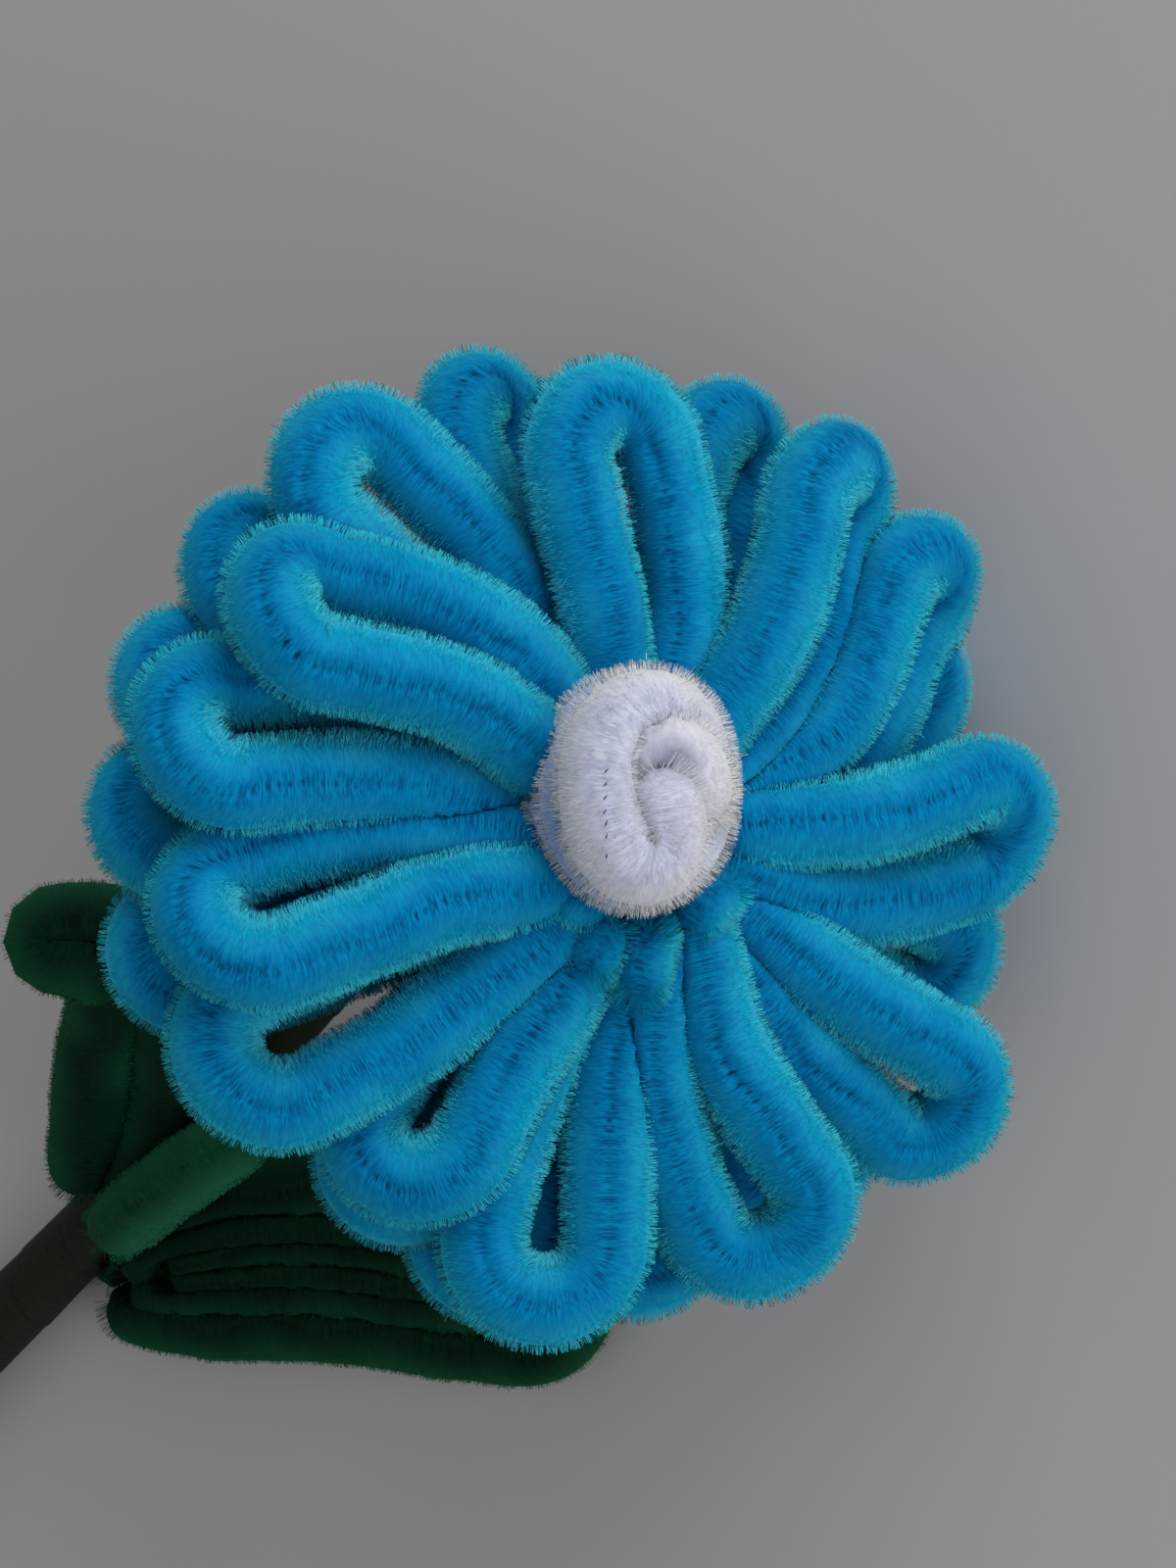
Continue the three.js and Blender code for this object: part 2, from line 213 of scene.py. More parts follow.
def linear(hex_colour):
    """An sRGB hex colour as linear red, green, blue and full cover."""
    parts = [int(hex_colour[i:i + 2], 16) / 255 for i in (1, 3, 5)]
    return (*(c / 12.92 if c <= 0.04045 else ((c + 0.055) / 1.055) ** 2.4 for c in parts), 1)


# ---------------------------------------------------------------------------------------------
# Middle lines
# ---------------------------------------------------------------------------------------------

def hairpin(share, start, reach, half_width, flare, bulge=0.0):
    """Along, across and run of a flat hairpin: out along one leg, round the tip and back."""
    bend = reach - half_width
    run = np.minimum(share, 1 - share) / LEG_SHARE
    leg = run < 1
    spread = 1 - (1 - np.minimum(run, 1)) ** flare
    wide = ROOT_HALF_WIDTH + (half_width - ROOT_HALF_WIDTH) * spread
    wide = wide + bulge * np.sin(np.pi * np.minimum(run, 1) ** BULGE_SKEW)
    angle = math.pi * (0.5 - (share - LEG_SHARE) / (1 - 2 * LEG_SHARE))
    along = np.where(leg, start + (bend - start) * run, bend + half_width * np.cos(angle))
    across = np.where(leg, np.where(share < 0.5, wide, -wide), half_width * np.sin(angle))
    return along, across, np.minimum(run, 1)


def turned(x, y, degrees):
    """Plane coordinates turned anticlockwise."""
    c, s = math.cos(math.radians(degrees)), math.sin(math.radians(degrees))
    return x * c - y * s, x * s + y * c


def head_to_row(points):
    """Points of the head's own frame, +Z out of its face, in the row frame."""
    x, y = turned(points[:, 0], points[:, 1], HEAD_SPIN)
    # The spin comes first, then the face is tipped from looking up to looking out and up.
    tip = math.radians(90 - FACE_ELEVATION)
    z = points[:, 2]
    tipped = np.stack([x, y * math.cos(tip) - z * math.sin(tip), y * math.sin(tip) + z * math.cos(tip)], 1)
    return tipped + HUB_PLACE


def resampled(points, step=STEP):
    """A line's points again, evenly spaced, and its length."""
    gaps = np.linalg.norm(np.diff(points, axis=0), axis=1)
    place = np.concatenate([[0], np.cumsum(gaps)])
    count = max(8, int(round(place[-1] / step)) + 1)
    even = np.linspace(0, place[-1], count)
    return np.stack([np.interp(even, place, points[:, k]) for k in range(3)], 1), place[-1]


# ---------------------------------------------------------------------------------------------
# Middle lines of the pieces
# ---------------------------------------------------------------------------------------------

def petal_line(row, root_angle):
    """One petal's middle line in the head's frame, finely sampled."""
    tip_angle, reach, half_width, flare, roll, tip_height, arch, sweep, root_height = row
    share = np.linspace(0, 1, 400)
    along, across, run = hairpin(share, ROOT_RADIUS, reach, half_width, flare)
    out = (along - ROOT_RADIUS) / (reach - ROOT_RADIUS)
    turn = np.radians(roll) * np.minimum(1, 0.5 + 1.2 * out)
    root_offset = ROOT_RADIUS * math.sin(math.radians(root_angle - tip_angle))
    aside = across * np.cos(turn) + sweep * np.sin(np.pi * run) + root_offset * (1 - run) ** 2
    rise = root_height + (tip_height - root_height) * out + arch * np.sin(np.pi * out)
    x, y = turned(along, aside, tip_angle)
    return np.stack([x, y, across * np.sin(turn) + rise], 1)


def coil_line():
    """The white strand's middle line in the head's frame."""
    share = np.linspace(0, 1, 600)
    wound = np.minimum(share / COIL_HOOK, 1)
    hook = np.maximum(0, (share - COIL_HOOK) / (1 - COIL_HOOK))
    size = (COIL_NARROW + (1 - COIL_NARROW) * wound) * (1 - HOOK_SHRINK * hook ** HOOK_EASE)
    angle = np.radians(COIL_START + COIL_SWEEP * wound + HOOK_SWEEP * (1 - (1 - hook) ** 2))
    rise = COIL_PITCH * COIL_SWEEP / 360 * wound + HOOK_RISE * hook
    x = COIL_AXIS[0] + COIL_RADII[0] * size * np.cos(angle)
    y = COIL_AXIS[1] + COIL_RADII[1] * size * np.sin(angle)
    line = np.stack([x, y, COIL_BOTTOM + rise], 1)
    onward = unit(line[-1:] - line[-6:-5]) * np.linspace(0.05, PILE_PAST_END, 30)[:, None]
    return np.vstack([line, line[-1:] + onward])


def smooth_line(points, samples=400):
    """A centripetal Catmull-Rom line through the points, evenly spaced along its length."""
    p = np.array(points, float)
    p = np.vstack([2 * p[0] - p[1], p, 2 * p[-1] - p[-2]])
    found = []
    for a, b, c, d in zip(p, p[1:], p[2:], p[3:]):
        g0, g1, g2 = (np.linalg.norm(v - u) ** 0.5 for u, v in ((a, b), (b, c), (c, d)))
        start = ((b - a) / g0 - (c - a) / (g0 + g1) + (c - b) / g1) * g1
        end = ((c - b) / g1 - (d - b) / (g1 + g2) + (d - c) / g2) * g1
        t = np.linspace(0, 1, 80, endpoint=False)[:, None]
        cubic = 2 * b - 2 * c + start + end
        square = -3 * b + 3 * c - 2 * start - end
        found.append(b + start * t + square * t ** 2 + cubic * t ** 3)
    line = np.vstack([*found, p[-2:-1]])
    return resampled(line, np.linalg.norm(np.diff(line, axis=0), axis=1).sum() / samples)


def leaf_line(leaf, loop):
    """One leaf loop's middle line: a hairpin laid along the leaf and across the way it faces."""
    route, facing, _ = leaf
    share, half_width, flare, start, bulge = loop
    middle, length = smooth_line(route)
    place = np.linspace(0, length, len(middle))
    tangents = unit(np.gradient(middle, axis=0))
    along, across, _ = hairpin(
        np.linspace(0, 1, 400), start, length * share, half_width, flare, bulge)
    centre = np.stack([np.interp(along, place, middle[:, k]) for k in range(3)], 1)
    tangent = np.stack([np.interp(along, place, tangents[:, k]) for k in range(3)], 1)
    side = unit(np.cross(tangent, unit(np.array([facing], float))))
    return centre + side * across[:, None] + stem_origin()


def stem_origin():
    """The route's origin: the point of the surface below the hub's centre."""
    return HUB_PLACE * (1, 1, 0)


def tape_radius(share):
    return TAPE_RADIUS + TAPE_SWELL * np.exp(-(((share - SWELL_PLACE) / SWELL_SPREAD) ** 2))


def stem_line(start, end_gap, step=STEP):
    """The stem's middle line, from a height on the head's axis to the cut end."""
    face = math.radians(FACE_ELEVATION)
    first = np.array([0, -math.cos(face), math.sin(face)]) * start + (0, 0, HUB_PLACE[2])
    points = np.vstack([first, STEM_ROUTE]).astype(float)
    points[-1] += unit(points[-2:-1] - points[-1])[0] * end_gap
    line, _ = smooth_line(points)
    line[:, 2] = np.maximum(line[:, 2], tape_radius(np.linspace(0, 1, len(line))))
    even, length = resampled(line, step)
    return even + stem_origin(), length


def unit(vectors):
    return vectors / np.maximum(np.linalg.norm(vectors, axis=-1, keepdims=True), 1e-9)


# ---------------------------------------------------------------------------------------------
# Chenille strands
# ---------------------------------------------------------------------------------------------

class Strand:
    """A fuzzy strand's evenly spaced middle line, with the frame that its pile is laid out in."""

    def __init__(self, name, line):
        self.name = name
        self.points, self.length = resampled(line)
        self.tangents = unit(np.gradient(self.points, axis=0))
        # The parting of the pile faces the photograph's camera.
        toward = CAMERA_BACK[None] - (self.tangents @ CAMERA_BACK)[:, None] * self.tangents
        front = unit(toward)
        side = np.cross(self.tangents, front)
        # It wanders a little to either side of the middle.
        rng = np.random.default_rng([SEED, *name.encode()])
        wander = rng.normal(0, 0.1) + 0.13 * slow_noise(rng, len(front), 4, self.length / 9)
        wander += rng.normal(0, 0.035, len(front))
        self.front = front * np.cos(wander)[:, None] + side * np.sin(wander)[:, None]
        self.side = np.cross(self.tangents, self.front)
        self.place = np.linspace(0, self.length, len(self.points))

    def at(self, place, values):
        """Values of the middle line at places along it."""
        return np.stack([np.interp(place, self.place, values[:, k]) for k in range(3)], 1)

    def outward(self, place, angle):
        """Base points on the middle line, and the ways out of it at an angle from the parting."""
        front, side = self.at(place, self.front), self.at(place, self.side)
        out = np.cos(angle)[:, None] * front + np.sin(angle)[:, None] * side
        return self.at(place, self.points), unit(out)


def head_strands():
    """Every strand of the head, by the name of its solid."""
    found = {}
    for prefix, rows, first in (
        ("front_petal", FRONT_PETALS, FRONT_FIRST_ROOT),
        ("back_petal", BACK_PETALS, BACK_FIRST_ROOT),
    ):
        for i, row in enumerate(rows):
            name = f"{prefix}_{i + 1:02d}"
            found[name] = Strand(name, head_to_row(petal_line(row, first + 360 / len(rows) * i)))
    found["centre_coil"] = Strand("centre_coil", head_to_row(coil_line()))
    found["centre_filling"] = Strand("centre_filling", head_to_row(smooth_line(CENTRE_FILLING)[0]))
    return found


def hub_strands():
    """The petals' short strand ends, twisted together round the head's axis."""
    share = np.linspace(0, 1, 60)
    found = {}
    for i in range(HUB_ENDS):
        turn = np.radians(360 / HUB_ENDS * i + HUB_TWIST * share)
        out = HUB_SPREAD[0] + (HUB_SPREAD[1] - HUB_SPREAD[0]) * share ** 0.7
        height = HUB_BOTTOM + 0.5 + (HUB_TOP - 1.3 - HUB_BOTTOM) * share
        line = np.stack([out * np.cos(turn), out * np.sin(turn), height], 1)
        name = f"hub_end_{i + 1:02d}"
        found[name] = Strand(name, head_to_row(line))
    for i, route in enumerate(FACE_TUFTS):
        name = f"face_tuft_{i + 1}"
        found[name] = Strand(name, head_to_row(smooth_line(route)[0]))
    return found


def leaf_strands():
    found = {}
    for name, leaf in (("large_leaf", LARGE_LEAF), ("curled_leaf", CURLED_LEAF), ("small_leaf", SMALL_LEAF)):
        for i, loop in enumerate(leaf[2]):
            full = f"{name}_{i + 1}" if len(leaf[2]) > 1 else name
            found[full] = Strand(full, leaf_line(leaf, loop))
    return found


def hub_line():
    """The head's axis from the back of the hub to its top."""
    heights = np.linspace(HUB_BOTTOM, HUB_TOP, 30)
    return head_to_row(np.stack([heights * 0, heights * 0, heights], 1))


def everything_solid(strands):
    """Middle-line points of all that takes up room, each with a hard radius: strands have none,
    because their pile gives way, and the tape and the hub have their own."""
    rows = []
    for number, strand in enumerate(strands.values()):
        n = len(strand.points)
        rows.append(np.column_stack([strand.points, np.zeros(n), np.full(n, number), strand.place]))
    tape, _ = stem_line(TAPE_START, TAPE_END_GAP)
    radii = tape_radius(np.linspace(0, 1, len(tape)))
    rows.append(np.column_stack([tape, radii, np.full(len(tape), TAPE_NUMBER), radii * 0]))
    axis = hub_line()
    inner = np.full(len(axis), HUB_RADIUS - 0.9)
    rows.append(np.column_stack([axis, inner, np.full(len(axis), HUB_NUMBER), inner * 0]))
    return np.vstack(rows)


def room(strand, number, solids, place, angle):
    """How far from the middle line the pile at each place and angle may reach: halfway to the
    next strand, as far as a hard piece, or down to the surface."""
    base, out = strand.outward(place, angle)
    reach = 6.6
    low, high = strand.points.min(0) - reach, strand.points.max(0) + reach
    near = solids[((solids[:, :3] > low) & (solids[:, :3] < high)).all(1)]
    own = near[:, 4] == number
    limit = np.full(len(base), 99.0)
    for first in range(0, len(base), 2000):
        part = slice(first, first + 2000)
        b, d = base[part], out[part]
        gap = near[:, :3][None] - b[:, None]
        toward = np.einsum("ijk,ik->ij", gap, d)
        distance = np.einsum("ijk,ijk->ij", gap, gap) - near[:, 3][None] ** 2
        apart = np.abs(place[part][:, None] - near[:, 5][None])
        skip = (toward < 0.02) | (own[None] & (apart < OWN_REACH))
        ratio = np.where(skip, 99.0, distance / np.maximum(2 * toward, 0.04))
        limit[part] = ratio.min(1)
    down = np.where(out[:, 2] < -0.01, (base[:, 2] - 0.05) / np.maximum(-out[:, 2], 0.01), 99.0)
    return np.minimum(limit, down), down


def slow_noise(rng, count, waves, spread):
    """A smooth random line of values round 0, made of a few waves."""
    t = np.linspace(0, 1, count)
    total = np.zeros(count)
    for _ in range(waves):
        total += np.sin(2 * math.pi * (rng.uniform(1, max(spread, 1.5)) * t + rng.uniform()))
    return total / math.sqrt(waves)


def body_angles():
    """Angles round a strand at which its body has corners, close together at the two partings."""
    quarter = [0, 0.07, 0.15, 0.27, 0.45, 0.72, 1.0, 1.28, math.pi / 2]
    half = quarter + [math.pi - a for a in quarter[-2::-1]]
    return np.array(half + [math.pi + a for a in half[1:-1]])


def from_parting(angle):
    """The signed angle to the nearer of a strand's two partings."""
    return (angle + math.pi / 2) % math.pi - math.pi / 2


class Mesh:
    """Corners and faces gathered from parts, then made into one object."""

    def __init__(self):
        self.points, self.marks, self.normals, self.faces = [], [], [], []
        self.count = 0
        self.band, self.bands = 0, 1

    def placed(self, uv):
        """UV places moved into the present strand's own band of the map."""
        return uv * (1, 1 / self.bands) + (0, self.band / self.bands)

    def add(self, points, marks, faces, uv, slot=0, smooth=False, normals=None):
        """points and marks hold one row for each corner, and uv one for each corner of a face.
        normals, where given, shade the corners as if they lay in a surface that faces that way."""
        self.points.append(points)
        self.marks.append(marks)
        self.normals.append(np.zeros((len(points), 3)) if normals is None else normals)
        self.faces.append((faces + self.count, self.placed(uv), slot, smooth))
        self.count += len(points)

    def make(self, name, materials):
        """The object, in metres, with the pile's places in an attribute and its own UV map."""
        mesh = bpy.data.meshes.new(name)
        points = np.vstack(self.points).astype(np.float32) * MM
        corners = np.concatenate([faces.ravel() for faces, _, _, _ in self.faces])
        sizes = np.concatenate([np.full(len(f), f.shape[1]) for f, _, _, _ in self.faces])
        mesh.vertices.add(len(points))
        mesh.vertices.foreach_set("co", points.ravel())
        mesh.loops.add(len(corners))
        mesh.loops.foreach_set("vertex_index", corners.astype(np.int32))
        mesh.polygons.add(len(sizes))
        starts = np.concatenate([[0], np.cumsum(sizes)[:-1]])
        mesh.polygons.foreach_set("loop_start", starts.astype(np.int32))
        slots = np.concatenate([np.full(len(f), slot) for f, _, slot, _ in self.faces])
        smooth = np.concatenate([np.full(len(f), s) for f, _, _, s in self.faces])
        mesh.polygons.foreach_set("material_index", slots.astype(np.int32))
        mesh.polygons.foreach_set("use_smooth", smooth)
        marks = mesh.attributes.new("pile", "FLOAT_VECTOR", "POINT")
        marks.data.foreach_set("vector", np.vstack(self.marks).astype(np.float32).ravel())
        layer = mesh.uv_layers.new(name="OFBake", do_init=False)
        uv = np.vstack([u.reshape(-1, 2) for _, u, _, _ in self.faces])
        layer.uv.foreach_set("vector", uv.astype(np.float32).ravel())
        for material in materials:
            mesh.materials.append(material)
        mesh.update(calc_edges=True)
        mesh.validate()
        mesh.normals_split_custom_set_from_vertices(np.vstack(self.normals).astype(np.float32))
        piece = bpy.data.objects.new(name, mesh)
        bpy.context.scene.collection.objects.link(piece)
        return piece


def tube_faces(rings, sides):
    """Four-cornered faces of a tube, outward when the corners go anticlockwise seen from its end,
    and the three-cornered faces of its two ends, whose middle corners come last."""
    ring = np.arange(rings - 1)[:, None] * sides
    side = np.arange(sides)[None]
    after = (side + 1) % sides
    quads = np.stack([ring + side, ring + after, ring + sides + after, ring + sides + side], -1)
    side, after = side[0], after[0]
    start, end = rings * sides, rings * sides + 1
    last = (rings - 1) * sides
    near = np.stack([np.full(sides, start), after, side], -1)
    far = np.stack([np.full(sides, end), last + side, last + after], -1)
    return quads.reshape(-1, 4), np.vstack([near, far])


def add_tube(mesh, centres, rings, marks):
    """A closed tube through rings of corners. rings and marks are shaped rings, sides, 3."""
    count, sides, _ = rings.shape
    quads, ends = tube_faces(count, sides)
    points = np.vstack([rings.reshape(-1, 3), centres[:1], centres[-1:]])
    marks = np.vstack([marks.reshape(-1, 3), marks[0, :1], marks[-1, :1]])
    u = np.linspace(0.002, 0.998, count)
    v = np.linspace(0.01, 0.49, sides + 1)
    grid = np.stack(np.meshgrid(u, v, indexing="ij"), -1)
    quad_uv = np.stack([grid[:-1, :-1], grid[:-1, 1:], grid[1:, 1:], grid[1:, :-1]], 2)
    turn = np.linspace(0, 2 * math.pi, sides, endpoint=False)
    rim = np.stack([0.0008 * np.cos(turn), 0.01 * np.sin(turn)], -1)
    end_uv = []
    for u_end in (0.001, 0.999):
        middle = np.full((sides, 2), (u_end, 0.25))
        end_uv.append(np.stack([middle, middle + rim, middle + np.roll(rim, -1, 0)], 1))
    mesh.add(points, marks, quads, quad_uv.reshape(-1, 4, 2), 0, True)
    # The end faces use the same corners, so they are given without any points of their own.
    mesh.faces.append((ends + mesh.count - len(points), mesh.placed(np.vstack(end_uv)), 0, True))


def add_fibres(mesh, roots, tips, widths, spin, marks_root, marks_tip, u, facing):
    """Closed four-sided fibres of even thickness: each end is an edge, and the edges lie crosswise.
    They are shaded as the surface that all of them make together, which faces facing."""
    count = len(roots)
    along = unit(tips - roots)
    helper = np.where(np.abs(along[:, 2:3]) < 0.8, (0, 0, 1.0), (1.0, 0, 0))
    first = unit(np.cross(along, helper))
    second = np.cross(along, first)
    a = first * np.cos(spin)[:, None] + second * np.sin(spin)[:, None]
    b = np.cross(along, a)
    half = widths[:, None] / 2
    points = np.stack([roots - a * half, roots + a * half, tips - b * half, tips + b * half], 1)
    marks = np.stack([marks_root, marks_root, marks_tip, marks_tip], 1).reshape(-1, 3)
    turns = np.array([[0, 1, 2], [0, 3, 1], [0, 2, 3], [1, 3, 2]])
    faces = np.arange(count)[:, None, None] * 4 + turns[None]
    du = 0.0015
    low, high = np.full(count, 0.53), np.full(count, 0.98)
    spots = np.stack([
        np.stack([u - du, low], -1), np.stack([u + du, low], -1),
        np.stack([u - du, high], -1), np.stack([u + du, high], -1),
    ], 1).clip(0.001, 0.999)
    mesh.add(
        points.reshape(-1, 3), marks, faces.reshape(-1, 3), spots[:, turns].reshape(-1, 3, 2), 2,
        True, np.repeat(facing, 4, 0),
    )


def add_stitches(mesh, strand, places, radii, angles, glint):
    """Glimpses of the twisted wires in the partings: short slanting eight-sided slivers."""
    length, width = glint
    base, out = strand.outward(places, angles)
    along = strand.at(places, strand.tangents)
    side = np.cross(along, out)
    slant = unit(along * 0.75 + side * 0.66)
    across = np.cross(slant, out)
    middle = base + out * radii[:, None]
    shape = np.stack([
        middle - slant * length / 2, middle + slant * length / 2,
        middle - across * width / 2, middle + across * width / 2,
        middle - out * width / 2, middle + out * width / 2,
    ], 1)
    turns = np.array([
        [0, 4, 3], [0, 3, 5], [0, 5, 2], [0, 2, 4], [1, 3, 4], [1, 5, 3], [1, 2, 5], [1, 4, 2],
    ])
    faces = np.arange(len(places))[:, None, None] * 6 + turns[None]
    marks = np.repeat(np.column_stack([places, places * 0, places * 0]), 6, 0)
    u = (places / strand.length).clip(0.003, 0.997)
    corner = np.array([[0, 0], [0.002, 0], [0.001, 0.01]])
    uv = np.stack([u, np.full(len(u), 0.5)], -1)[:, None, None] + corner[None, None]
    uv = np.broadcast_to(uv, (len(u), 8, 3, 2)).clip(0.001, 0.999)
    mesh.add(shape.reshape(-1, 3), marks, faces.reshape(-1, 3), uv.reshape(-1, 3, 2), 1)


def flank_share(gap):
    """How far from a parting towards the flank an angle is, from 0 to 1."""
    t = ((np.abs(gap) - 0.35) / 0.95).clip(0, 1)
    return t * t * (3 - 2 * t)


def radius_of_end(strand, place):
    """How wide the pile is beside a cut end, as a share of its full width: it closes in round."""
    ease = (np.minimum(place, strand.length - place) / END_ROUND).clip(0, 1)
    return np.sqrt(0.04 + 0.96 * (1 - (1 - ease) ** 2))


class StrandPile:
    """The pile of one fuzzy strand: its packed middle, its loose outer fibres, and its wires.
    sizes holds its sizes, hollow scales how deep the partings are, fringe how far the loose fibres
    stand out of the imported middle, girth the whole strand, density how many fibres it has, and
    bushy how loose its face is. bare lists places and angles where the wires show through."""

    def __init__(self, strand, number, solids, sizes, hollow=1.0, fringe=1.0, girth=1.0,
                 density=1.0, bushy=0.0, bare=()):
        self.strand, self.number, self.solids, self.sizes = strand, number, solids, sizes
        self.girth, self.density, self.bushy, self.bare = girth, density, bushy, bare
        self.rng = np.random.default_rng(SEED + number)
        self.tips, self.crown = sizes.radius * girth, sizes.crown_radius * girth
        self.flank = self.tips - (self.tips - sizes.body_radius * girth) * fringe
        # Each strand's marks start at a place of its own, a whole number of twists on.
        self.start = 0 if strand.name.startswith("centre") else 50 * TWIST * number
        count = len(strand.points)
        self.swell = 1 + 0.02 * slow_noise(self.rng, count, 5, strand.length / 5)
        openness = 0.5 + 0.5 * slow_noise(self.rng, count, 6, strand.length / 4)
        self.openness = openness.clip(0.1, 1) * hollow

    def lay(self, mesh):
        self.lay_body(mesh)
        self.lay_fibres(mesh)
        self.lay_wires(mesh)

    def room_at(self, place, angle):
        return room(self.strand, self.number, self.solids, place, angle)

    def packed(self, place, angle, limit, down):
        """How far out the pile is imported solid."""
        gap = from_parting(angle)
        groove = self.sizes.parting_depth * np.interp(place, self.strand.place, self.openness)
        shape = np.interp(place, self.strand.place, self.swell)
        shape = shape * (1 - groove * np.exp(-((gap / GROOVE_WIDTH) ** 2)))
        full = self.crown + (self.flank - self.crown) * flank_share(gap)
        full = full * shape * radius_of_end(self.strand, place)
        packed = np.minimum(full, limit + PRESSED_OVERLAP).clip(THINNEST_BODY, None)
        return np.minimum(packed, down.clip(0.05, None))

    def marks(self, place, angle, reach):
        """What the material reads: the place along the strand, the distance from its nearer
        parting, and the reach as a share of the tips'."""
        parting = np.abs(from_parting(angle))
        return np.column_stack([place + self.start, parting * reach / self.girth, reach / self.tips])

    def lay_body(self, mesh):
        """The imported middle, a closed tube."""
        angles = body_angles()
        place, angle = (g.ravel() for g in np.meshgrid(self.strand.place, angles, indexing="ij"))
        radius = self.packed(place, angle, *self.room_at(place, angle))
        base, out = self.strand.outward(place, angle)
        shape = (len(self.strand.points), len(angles), 3)
        rings = (base + out * radius[:, None]).reshape(shape)
        add_tube(mesh, self.strand.points, rings, self.marks(place, angle, radius).reshape(shape))

    def fibre_places(self):
        """Where the fibres stand: place, angle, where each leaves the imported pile, and its tip."""
        rng, strand, bushy = self.rng, self.strand, self.bushy
        share = 1
        total = int(self.sizes.fibres_per_mm * self.density * strand.length * share)
        place = rng.uniform(0, strand.length, total)
        # The pile is thickest to either side of the partings.
        turn = np.linspace(0, 2 * math.pi, 721)
        thickness = np.cumsum(0.2 + 0.8 * bushy + flank_share(from_parting(turn)))
        angle = np.interp(rng.uniform(0, 1, total), thickness / thickness[-1], turn)
        limit, down = self.room_at(place, angle)
        radius = self.packed(place, angle, limit, down)
        short = 0.13 + 0.35 * bushy
        full = self.crown + short + (self.tips - self.crown - short) * flank_share(from_parting(angle))
        uneven = 1.01 - np.abs(rng.normal(0, TIP_SPREAD, total)).clip(0, 0.16)
        full = full * uneven * np.interp(place, strand.place, self.swell)
        stray = rng.uniform(0, 1, total) < STRAY_SHARE
        full = full + stray * rng.uniform(*STRAY_REACH, total)
        full = np.minimum(full, radius_of_end(strand, place) * full + 0.6)
        reach = np.minimum(full, limit + self.sizes.mingling + rng.normal(0, 0.08, total))
        reach = np.minimum(reach, down)
        # Most of the fibres that a neighbour presses flat are lost in its pile.
        pressed = limit < (0.8 - 0.2 * bushy) * full
        lost = pressed & (rng.uniform(0, 1, total) < LOST_SHARE)
        kept = (reach - radius > SHORTEST_FIBRE) & ~lost
        return (x[kept] for x in (place, angle, radius, reach))

    def lay_fibres(self, mesh):
        """The loose fibres. Each stands for a few real ones, which are too fine to show."""
        rng, strand = self.rng, self.strand
        place, angle, radius, reach = self.fibre_places()
        gap = from_parting(angle)
        base, out = strand.outward(place, angle)
        along = strand.at(place, strand.tangents)
        side = np.cross(along, out)
        clump = np.sin(2 * math.pi * (place / 2.9 + angle * 0.8))
        clump = clump * np.sin(2 * math.pi * (place / 7.3 - angle * 0.5))
        lean = (0.16 * clump + rng.normal(0, 0.07, len(place))) * (reach - radius + 0.5)
        # Tips gather into small tufts, here and there more than elsewhere.
        sector = np.floor(angle / 0.22)
        within = (place / TUFT + sector * 0.377) % 1.0
        lean = lean + TUFT * (0.5 - within) * (0.12 + 0.12 * np.sin(place * 1.7 + sector * 2.1))
        away = rng.normal(0, 0.06, len(place)) * (reach - radius)
        # Beside the parting the fibres lie combed toward the flank.
        combed = COMBED * self.girth * (1 - flank_share(gap))
        away = away + np.sign(gap) * combed * rng.uniform(0.6, 1.2, len(place))
        root = base + out * (radius - 0.15).clip(0.1, None)[:, None]
        # Beside a cut end the fibres splay past it, like a brush's.
        splay = 1.6 * (1 - radius_of_end(strand, place)) * np.sign(place - strand.length / 2)
        lean = lean + splay * (reach - radius + 0.3)
        tip = base + out * reach[:, None] + along * lean[:, None] + side * away[:, None]
        tip[:, 2] = np.maximum(tip[:, 2], 0.02)
        thinner = self.sizes.fibre_width * (1 - 0.25 * self.bushy)
        width = thinner * rng.uniform(0.7, 1.25, len(place))
        spin = rng.uniform(0, 2 * math.pi, len(place))
        forward = np.sign(np.cos(angle))[:, None] * strand.at(place, strand.front)
        facing = unit(0.6 * out + 0.7 * forward + rng.normal(0, 0.12, out.shape))
        add_fibres(
            mesh, root, tip, width, spin, self.marks(place, angle, radius),
            self.marks(place, angle, reach), (place / strand.length).clip(0.004, 0.996), facing)

    def lay_wires(self, mesh):
        """Glimpses of the wires in the two partings, and at the places that are bare."""
        rng, strand = self.rng, self.strand
        for parting in (0.0, math.pi):
            spots = np.arange(TWIST, strand.length - TWIST, TWIST)
            spots = spots + rng.normal(0, 0.06, len(spots))
            turns = np.full(len(spots), parting) + rng.normal(0, 0.05, len(spots))
            limit, down = self.room_at(spots, turns)
            radii = self.packed(spots, turns, limit, down)
            seen = (limit > self.flank) & (down > self.flank)
            seen &= rng.uniform(0, 1, len(spots)) < WIRES_SHOWN
            add_stitches(mesh, strand, spots[seen], radii[seen] - 0.02, turns[seen], WIRE_GLINT)
        if len(self.bare):
            spots, turns = np.array(self.bare).T
            add_stitches(mesh, strand, spots, np.full(len(spots), 0.99 * self.tips), turns, BARE_GLINT)


# ---------------------------------------------------------------------------------------------
# Materials
# ---------------------------------------------------------------------------------------------

# How the pile of some strands differs from a petal's: see StrandPile.
COIL_PILE = {"hollow": 0.3, "girth": 1.12, "density": 2.1, "bushy": 1.0}
FILLING_PILE = {"hollow": 0.0, "girth": 1.05, "density": 2.6, "bushy": 1.0}
LEAF_PILE = {"fringe": 0.5, "density": 0.7}

# Noise cells for each millimetre along the pile, away from its parting, and for its whole reach.
# Real fibres are too fine to show, so one streak stands for several.
STREAKS_PER_MM = (8.0, 1.2, 1.5)
